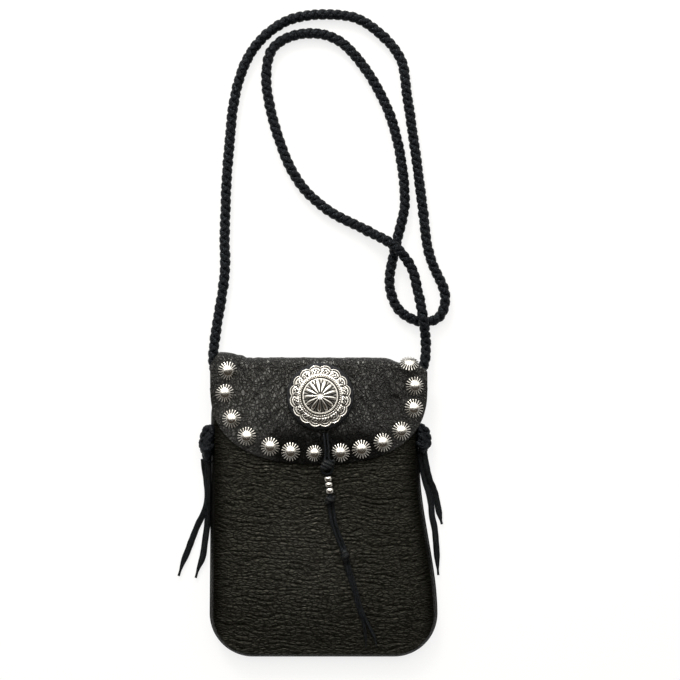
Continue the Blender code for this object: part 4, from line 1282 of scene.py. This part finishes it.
def fold_point(even_side):
    """Where a column of the sheet crosses the fold line."""
    sag = smooth((FLAP_CENTRE_X + FLAP_HALF_WIDTH * even_side - 0.042) / 0.018)
    return FLAP_CENTRE_X + (FLAP_HALF_WIDTH - CREST_INSET) * even_side, FOLD_Y - CREST_DROP * sag


def foot_at(share, feet):
    """The foot's point at a share of the way from the left side to the right side."""
    place = share * (len(feet) - 1)
    index = min(int(place), len(feet) - 2)
    low, high = feet[index], feet[index + 1]
    return mix(low[0], high[0], place - index), mix(low[1], high[1], place - index)


def flap_column(share):
    """A flap column's place across, from -1 to 1, and the height of its lower end."""
    turn = pi * share
    side = abs(cos(turn)) ** (2 / FLAP_POWER)
    low = CREST_Y - FLAP_LENGTH + FLAP_ROUND * (1 - abs(sin(turn)) ** (2 / FLAP_POWER))
    return (-side if share < 0.5 else side), low


print("fold at the left and the right:", fold_point(-1)[1], fold_point(1)[1])

# %% [markdown]
# ## One sheet for back and flap
# The back of the pouch and its flap are cut from one piece of hide, folded over at the top.  Two sheets would
# show a seam when the flap opens, so one grid runs up the back, round the fold and down the flap.

# %% Back, fold and flap
BACK_SHARE, FOLD_SHARE = 0.30, 0.15
# The back panel takes painted shade, which darkens its colour and dims its reflection of the floor.
BACK_SHADE = 0.92


def back_place(share_across, climb):
    even_side = 2 * share_across - 1
    fold_x, fold_y = fold_point(even_side)
    foot_x, foot_y = foot_at(share_across, BACK_FEET)
    y = mix(foot_y, fold_y, climb)
    inset = crest_inset(fold_y - y + FOLD_R * pi / 2)
    foot_share = (foot_x + BASE_HALF_WIDTH) / (2 * BASE_HALF_WIDTH)
    width_share = mix(foot_share, share_across, smooth(climb * 1.6))
    x = mix(left_edge(y) + inset, right_edge(y) - inset, width_share)
    near_fold = smooth((climb - 0.80) / 0.20)
    return Vector((mix(x, fold_x, near_fold), y, LEATHER / 2)), 0.0, BACK_SHADE, 0.0


def fold_place(share_across, turn):
    middle_r = FOLD_R - LEATHER / 2
    even_side = 2 * share_across - 1
    fold_x, fold_y = fold_point(even_side)
    inset = CREST_INSET * (max(cos(turn), 0.0) ** 1.4 if turn > 0 else 1.0)
    x = FLAP_CENTRE_X + (FLAP_HALF_WIDTH - inset) * even_side
    lift = ear(x) * cos(turn)
    y = fold_y + middle_r * cos(turn) + EAR_RISE * lift
    z = FOLD_R + middle_r * sin(turn) + 0.0006 * lift * sin(turn) + 0.0003 * smooth(sin(turn))
    z += over_strap(x, y) * smooth(sin(turn) * 1.2)
    folds, crease = creases(x, y)
    upper = max(sin(turn), 0.0)
    y += (puckers(fold_x * 2.2, turn * 0.004, 0.0005) + folds) * cos(turn)
    z += folds * upper
    # Painted shade on the fold's outer face, and wear and painted sheen on the flap's side of the fold.
    return Vector((x, y, z)), crease * upper, 0.25 * cos(turn), wear_and_sheen_at(x, y) * upper


def flap_place(share_across, share):
    even_side = 2 * share_across - 1
    side, low = flap_column(share_across)
    y = mix(fold_point(even_side)[1], low, share)
    x = FLAP_CENTRE_X + FLAP_HALF_WIDTH * mix(even_side, side, share)
    z = flap_height(x, y) - LEATHER / 2 + over_strap(x, y)
    near_disc = hypot(x - CONCHO_CENTRE[0], y - CONCHO_CENTRE[1])
    calm = smooth((near_disc - DISC_R) / 0.006)
    folds, crease = creases(x, y)
    z += 0.0003 + max(puckers(x, y, 0.00075) * smooth(share / 0.12) + 2.2 * folds, -0.0006) * calm
    z -= 0.0006 * (1 - calm)
    # Painted shade: darker below the disc, towards the right, along the lower edge and near the sides.  Where
    # it falls, the wear and painted sheen fade.
    shade = max(
        0.95 * smooth((0.064 - y) / 0.018) * smooth((0.052 - abs(x - 0.004)) / 0.020),
        0.45 * smooth((x - 0.016) / 0.030), 0.60 * smooth((0.058 - y) / 0.022),
        0.30 * smooth((abs(x + 0.003) - 0.060) / 0.010))
    return Vector((x, y, z)), crease * calm, shade, wear_and_sheen_at(x, y) * (1 - shade)


def sheet_place(share_across, share_along):
    """A point's place, how deep in a crease it lies, its painted shade, and its wear and painted sheen."""
    if share_along < BACK_SHARE:
        return back_place(share_across, share_along / BACK_SHARE)
    if share_along < BACK_SHARE + FOLD_SHARE:
        return fold_place(share_across, mix(-pi / 2, pi / 2, (share_along - BACK_SHARE) / FOLD_SHARE))
    return flap_place(share_across, (share_along - BACK_SHARE - FOLD_SHARE) / (1 - BACK_SHARE - FOLD_SHARE))


hide = draped_grid("back_and_flap", 216, 206, sheet_place)
give_thickness(hide, LEATHER, 0.0004)
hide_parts("back_panel", "flap")
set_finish(hide, "flap_leather")
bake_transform(hide)
print("hide faces:", len(hide.data.polygons))

# %% [markdown]
# ## Front panel
# The front panel is the grainiest part of the hide.  It is full in the middle, falls towards the seams, and
# its creases run across it, as milled leather creases across the way that it was drawn.  They are the valleys
# of two sets of waves, bent by noise and broken up by noise.  The creases are geometry, so most of the grid's
# rows lie below the flap, and the finer grain is left to the material.

# %% Front of the pouch
FRONT_FEET = foot_points(FRONT_INSET, 22, 66)
DENSE_ROWS, DENSE_SHARE = 0.86, 0.76


def wrinkles(x, y):
    """How deep in a crease the point lies, from 0 to 1, and the soft swell between creases."""
    wide = noise.noise(Vector((x * 20, y * 34, 1.0)))
    middle = noise.noise(Vector((x * 62, y * 95, 3.0)))
    fine = noise.noise(Vector((x * 210, y * 260, 5.0)))
    phase = 2 * pi * (y / 0.0033 + 0.9 * x / 0.0330 + 2.2 * wide + 1.15 * middle + 0.30 * fine)
    strength = smooth(0.60 + 1.5 * noise.noise(Vector((x * 85, y * 190, 8.0))))
    second = 2 * pi * (y / 0.0021 - 1.8 * wide + 1.0 * middle + 0.35 * fine)
    second_strength = smooth(0.15 + 1.5 * noise.noise(Vector((x * 105, y * 170, 14.0))))
    crease = smooth((-sin(phase) - 0.35) / 0.60) * strength
    return max(crease, 0.65 * smooth((-sin(second) - 0.35) / 0.60) * second_strength), sin(phase) * strength


def front_place(share_across, share_along):
    foot_x, foot_y = foot_at(share_across, FRONT_FEET)
    seen = min(share_along / DENSE_ROWS, 1.0)
    hidden = max(share_along - DENSE_ROWS, 0.0) / (1 - DENSE_ROWS)
    dense = DENSE_SHARE * seen + (1 - DENSE_SHARE) * hidden
    y = mix(foot_y, MOUTH_Y, dense)
    low, high = FRONT_FEET[0][0], FRONT_FEET[-1][0]
    foot_share = (foot_x - low) / (high - low)
    width_share = mix(foot_share, share_across, smooth(dense * 1.6))
    x = mix(left_edge(y) + FRONT_INSET, right_edge(y) - FRONT_INSET, width_share)
    under_flap = smooth((y - 0.036) / 0.012)
    crease, swell = wrinkles(x, y)
    z = front_height(x, y) - LEATHER / 2
    from_side = min(x - left_edge(y), right_edge(y) - x) - FRONT_INSET
    from_foot = y - BOTTOM_Y - FRONT_INSET
    calm = smooth(min(from_side, from_foot) / 0.0040) * (1 - under_flap)
    z += (0.00014 * swell - 0.00036 * crease) * calm
    z += puckers(x, y, 0.00060) * calm
    # Painted shade: darker near the seams, towards the foot and towards the right.  The middle takes a light
    # patch of wear and painted sheen.
    shade = 0.95 * smooth(1 - from_side / 0.015)
    shade = max(shade, 0.45 * smooth(1 - from_foot / 0.030), 0.22 * smooth((x - 0.015) / 0.045))
    wear_and_sheen = 0.35 * smooth(1 - hypot((x + 0.01) / 0.05, (y + 0.03) / 0.06))
    return Vector((x, y, z)), crease * calm, shade, wear_and_sheen


front = draped_grid("wrinkled_front", 128, 330, front_place)
give_thickness(front, LEATHER, 0.0005)
dress(front, "pouch", "body_leather", "front_panel")
print("front faces:", len(front.data.polygons))

# %% [markdown]
# ## Gusset
# A narrow strip joins front and back.  It is sewn with its edges turned in, so it bulges a little between
# two seams and gathers round the corners of the foot.  It is lofted along the outline, section by section.

# %% Strip round the sides and the foot
GUSSET_LOW_INSET, GUSSET_HIGH_INSET, GUSSET_TOP_Y = 0.0012, 0.0042, 0.0740
GUSSET_BULGE = 0.0007
# The gusset takes nearly full painted shade, which darkens its colour and dims its reflection of the floor.
GUSSET_SHADE = 0.93


def gusset_path(inset, side_steps=46, corner_steps=26, flat_steps=60):
    feet = foot_points(inset, corner_steps, flat_steps)
    start = feet[0][1]
    path = []
    for step in range(side_steps):
        y = mix(GUSSET_TOP_Y, start, step / side_steps)
        path.append((left_edge(y) + inset, y))
    path += feet
    for step in range(1, side_steps + 1):
        y = mix(start, GUSSET_TOP_Y, step / side_steps)
        path.append((right_edge(y) - inset, y))
    return path


low_path, high_path = gusset_path(GUSSET_LOW_INSET), gusset_path(GUSSET_HIGH_INSET)
rings = []
travelled = 0.0
for index, (low, high) in enumerate(zip(low_path, high_path)):
    before, after = low_path[max(index - 1, 0)], low_path[min(index + 1, len(low_path) - 1)]
    along = Vector((after[0] - before[0], after[1] - before[1], 0)).normalized()
    outward = Vector((along.y, -along.x, 0))
    travelled += hypot(low[0] - before[0], low[1] - before[1])
    top_z = front_height(*high) - LEATHER
    gather = noise.noise(Vector((travelled * 330, 0.5, 0.5)))
    outer, inner = [], []
    for step in range(9):
        share = step / 8
        centre = Vector((mix(low[0], high[0], share), mix(low[1], high[1], share),
                         mix(LEATHER + 0.0001, top_z, share)))
        swell = (GUSSET_BULGE + 0.0003 * gather) * sin(pi * share)
        outer.append(centre + outward * (LEATHER / 2 + swell))
        inner.append(centre + outward * (swell - LEATHER / 2))
    rings.append(outer + inner[::-1])
gusset = mesh_piece("gathered_gusset", *loft(rings))
gusset.data.shade_smooth()
point_mask(gusset, "shade", [GUSSET_SHADE] * len(gusset.data.vertices))
dress(gusset, "pouch", "body_leather", "gusset")
print("gusset faces:", len(gusset.data.polygons))

# %% [markdown]
# ## Shader groups
# Two effects are shared.  Pebble grain breaks leather into small pillows with creases between them, which the
# leathers darken with painted shade, and tarnish darkens silver where it can't be rubbed.  Each is a node
# group that puts out masks and heights only, and each material feeds them into its own shader.

# %% Leather grain as a group
def make_group(name, inputs, outputs):
    """A group that takes a vector and some numbers, what it is given and the node for its results."""
    group = bpy.data.node_groups.new(name, "ShaderNodeTree")
    group.interface.new_socket(name="Vector", in_out="INPUT", socket_type="NodeSocketVector")
    for socket_name, value in inputs.items():
        socket = group.interface.new_socket(name=socket_name, in_out="INPUT", socket_type="NodeSocketFloat")
        socket.default_value = value
    for socket_name in outputs:
        group.interface.new_socket(name=socket_name, in_out="OUTPUT", socket_type="NodeSocketFloat")
    return group, add_node(group, "NodeGroupInput").outputs, add_node(group, "NodeGroupOutput")


def make_noise(tree, vector, scale, detail, **more):
    return add_node(tree, "ShaderNodeTexNoise", {"Vector": vector, "Scale": scale, "Detail": detail, **more})


def make_grain_group():
    group, given, results = make_group(
        "pebble_grain", {"Cells per metre": 700.0, "Warp": 0.0012, "Crease width": 0.28},
        ("Height", "Crease", "Mottle"))
    drift = make_noise(group, given["Vector"], 260.0, 3.0).outputs["Color"]
    centred = add_node(group, "ShaderNodeVectorMath", {0: drift, 1: (0.5, 0.5, 0.5)}, operation="SUBTRACT")
    warp = {0: centred.outputs[0], "Scale": given["Warp"]}
    scaled = add_node(group, "ShaderNodeVectorMath", warp, operation="SCALE")
    moved = add_node(
        group, "ShaderNodeVectorMath", {0: given["Vector"], 1: scaled.outputs[0]}, operation="ADD")
    cells = add_node(
        group, "ShaderNodeTexVoronoi", {"Vector": moved.outputs[0], "Scale": given["Cells per metre"]},
        feature="DISTANCE_TO_EDGE")
    pillow = ramp(group, cells.outputs["Distance"], 0.0, given["Crease width"], kind="SMOOTHERSTEP")
    fine = make_noise(group, given["Vector"], 2600.0, 2.0).outputs["Fac"]
    wire(group, results, {
        "Height": math_node(group, "MULTIPLY_ADD", fine, 0.35, pillow),
        "Crease": math_node(group, "SUBTRACT", 1.0, pillow),
        "Mottle": make_noise(group, given["Vector"], 38.0, 4.0).outputs["Fac"],
    })
    return group


grain_group = make_grain_group()
print("group:", grain_group.name)

# %% [markdown]
# ## Leathers
# The front is milled leather: its creases run across the bag, so the pattern's coordinates are squeezed from
# side to side.  The flap has a rounder grain and is greyer in places, from wear and from a painted sheen.
# The disc is smooth.  Light catches the tops of the pebbles, and painted shade darkens the creases and the
# parts of the sheets that lie in shade.

# %% One recipe for leather
# A grey of worn leather.  It also serves as painted sheen on the flap and front and as painted highlight on
# laces.
SHEEN_AND_WEAR_GREY = (0.034, 0.033, 0.030)


def read_mask(tree, name):
    return add_node(tree, "ShaderNodeAttribute", attribute_name=name).outputs["Fac"]


def place_pattern(tree, scale, turn=0.0):
    """Object coordinates, stretched and turned."""
    place = add_node(tree, "ShaderNodeTexCoord").outputs["Object"]
    inputs = {"Vector": place, "Scale": scale, "Rotation": (0, 0, turn)}
    return add_node(tree, "ShaderNodeMapping", inputs).outputs["Vector"]


def make_leather(name, dark, light, stretch, cells, warp, depth, roughness, shine,
                 wrinkle_depth=0.0, wave_scale=(1.0, 1.0, 1.0), wave_turn=0.0, crease_width=0.28):
    material = bpy.data.materials.new(name)
    material.use_nodes = True
    tree = material.node_tree
    grain_inputs = {
        "Vector": place_pattern(tree, stretch), "Cells per metre": cells, "Warp": warp,
        "Crease width": crease_width}
    grain = add_node(tree, "ShaderNodeGroup", node_tree=grain_group)
    wire(tree, grain, grain_inputs)
    height = grain.outputs["Height"]
    shade = read_mask(tree, "shade")
    crease = math_node(tree, "MULTIPLY", grain.outputs["Crease"], 0.80)
    crease = math_node(tree, "MAXIMUM", crease, read_mask(tree, "hollow"))
    if wrinkle_depth:
        waves = make_noise(
            tree, place_pattern(tree, wave_scale, wave_turn), 1.0, 3.0, Roughness=0.55, Distortion=0.6)
        from_middle = math_node(tree, "ABSOLUTE", math_node(tree, "SUBTRACT", waves.outputs["Fac"], 0.5))
        ridges = ramp(tree, from_middle, 0.0, 0.085, kind="SMOOTHSTEP")
        height = math_node(tree, "MULTIPLY_ADD", ridges, wrinkle_depth, height)
        fine_crease = math_node(tree, "SUBTRACT", 1.0, ridges)
        fine_crease = math_node(tree, "MULTIPLY", fine_crease, min(wrinkle_depth, 0.7))
        crease = math_node(tree, "MAXIMUM", fine_crease, crease)
    # The mask of wear and sheen lightens the dye towards a grey, partly wear and partly painted sheen and
    # highlight. Creases and the shade mask pull the colour towards a deeper tone and dim the reflection, as
    # painted shade.
    painted_shade_tone = tuple(0.25 * value for value in dark)
    dye = mix_colour(tree, dark, light, ramp(tree, grain.outputs["Mottle"], 0.30, 0.70))
    worn_and_sheened = mix_colour(tree, dye, SHEEN_AND_WEAR_GREY, read_mask(tree, "wear_and_sheen"))
    crease_shaded = mix_colour(tree, worn_and_sheened, painted_shade_tone, crease)
    dulled = math_node(tree, "MAXIMUM", math_node(tree, "MULTIPLY", crease, 0.85), shade)
    raised = add_node(tree, "ShaderNodeBump", {"Strength": 1.0, "Distance": depth, "Height": height})
    wire(tree, tree.nodes["Principled BSDF"], {
        "Base Color": mix_colour(tree, crease_shaded, painted_shade_tone, shade),
        "Roughness": ramp(tree, crease, 0.0, 1.0, roughness, min(1.0, roughness + 0.25)),
        "Specular IOR Level": ramp(tree, dulled, 0.0, 1.0, shine, 0.06 * shine),
        "Specular Tint": (*[(value / max(dark)) ** 0.5 for value in dark], 1),
        "Normal": raised.outputs["Normal"],
    })
    return material


print("rubbed leather:", SHEEN_AND_WEAR_GREY)

# %% [markdown]
# The three leathers and the lace differ only in their numbers.  The laces are dyed blue-black and are almost
# matt.  Their grain is very fine, and a little light catches each turn of the braid.  The loose laces and the
# knots also carry a thin painted highlight along the middle of their outer face.

# %% Three leathers and the lace
EVEN = (1.0, 1.0, 1.0)
front_leather = make_leather(
    "milled_leather", (0.0022, 0.0021, 0.0014), (0.0040, 0.0039, 0.0026), (0.50, 1.0, 0.50),
    560.0, 0.0015, 0.00024, 0.33, 0.36, 0.45, (170.0, 400.0, 170.0))
flap_leather = make_leather(
    "flap_leather", (0.0022, 0.0022, 0.0021), (0.0072, 0.0071, 0.0067), (1.0, 0.70, 1.0),
    480.0, 0.0028, 0.00050, 0.28, 0.90, 1.40, (270.0, 170.0, 270.0), 0.80, 0.18)
disc_leather = make_leather(
    "harness_leather", (0.0040, 0.0042, 0.0050), (0.009, 0.009, 0.010), EVEN,
    1500.0, 0.0004, 0.00006, 0.36, 0.45)
lace_leather = make_leather(
    "black_lace", (0.0007, 0.0009, 0.0012), (0.0015, 0.0019, 0.0025), EVEN,
    1500.0, 0.0004, 0.00012, 0.28, 0.28)


def give_finish(pieces, material):
    for piece in pieces:
        piece.data.materials.clear()
        piece.data.materials.append(material)


lace_pieces = [piece for piece in scene.objects if piece.type == "MESH" and piece.get("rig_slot") == "braid"]
for piece in lace_pieces:
    piece.data.shade_smooth()
give_finish((front, gusset), front_leather)
give_finish((hide,), flap_leather)
give_finish((disc,), disc_leather)
give_finish(lace_pieces, lace_leather)
print("leathers: 4, lace pieces:", len(lace_pieces))

# %% [markdown]
# ## Antique silver
# The spots and the concho are silver plate, blackened and then rubbed bright on top.  Each spun piece kept a
# mask of its hollows, so tarnish follows the pressed pattern exactly, and a little noise breaks it up.

# %% Tarnish as a group, and silver
SILVER, TARNISH = (0.76, 0.735, 0.69), (0.014, 0.011, 0.008)


def make_tarnish_group():
    group, given, results = make_group("tarnish", {"Hollow": 0.0, "Amount": 1.0}, ("Mask", "Cloud"))
    cloud = make_noise(group, given["Vector"], 900.0, 4.0, Roughness=0.6).outputs["Fac"]
    total = math_node(group, "ADD", given["Hollow"], math_node(group, "MULTIPLY_ADD", cloud, 0.5, -0.25))
    mask = ramp(group, total, 0.12, 0.52, kind="SMOOTHSTEP")
    wire(group, results, {"Mask": math_node(group, "MULTIPLY", mask, given["Amount"]), "Cloud": cloud})
    return group


def make_silver(name, amount):
    material = bpy.data.materials.new(name)
    material.use_nodes = True
    tree = material.node_tree
    place = add_node(tree, "ShaderNodeTexCoord").outputs["Object"]
    tarnish = add_node(tree, "ShaderNodeGroup", node_tree=make_tarnish_group())
    wire(tree, tarnish, {"Vector": place, "Hollow": read_mask(tree, "hollow"), "Amount": amount})
    mask = tarnish.outputs["Mask"]
    cloud = {"Strength": 0.6, "Distance": 0.00004, "Height": tarnish.outputs["Cloud"]}
    wire(tree, tree.nodes["Principled BSDF"], {
        "Metallic": 1.0,
        "Base Color": mix_colour(tree, SILVER, TARNISH, mask),
        "Roughness": ramp(tree, mask, 0.0, 1.0, 0.22, 0.60),
        "Normal": add_node(tree, "ShaderNodeBump", cloud).outputs["Normal"],
    })
    return material


silver_pieces = (*spots, *beads, concho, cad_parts["concho_screw"])
give_finish(silver_pieces, make_silver("antique_silver", 0.96))
print("silver pieces:", len(silver_pieces))

# %% [markdown]
# ## Size of the dressed bag
# The box of the dressed bag is printed in millimetres.

# %% Print the size
low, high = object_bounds()
print("visual size in mm:", [round((b - a) * 1000, 1) for a, b in zip(low, high)])
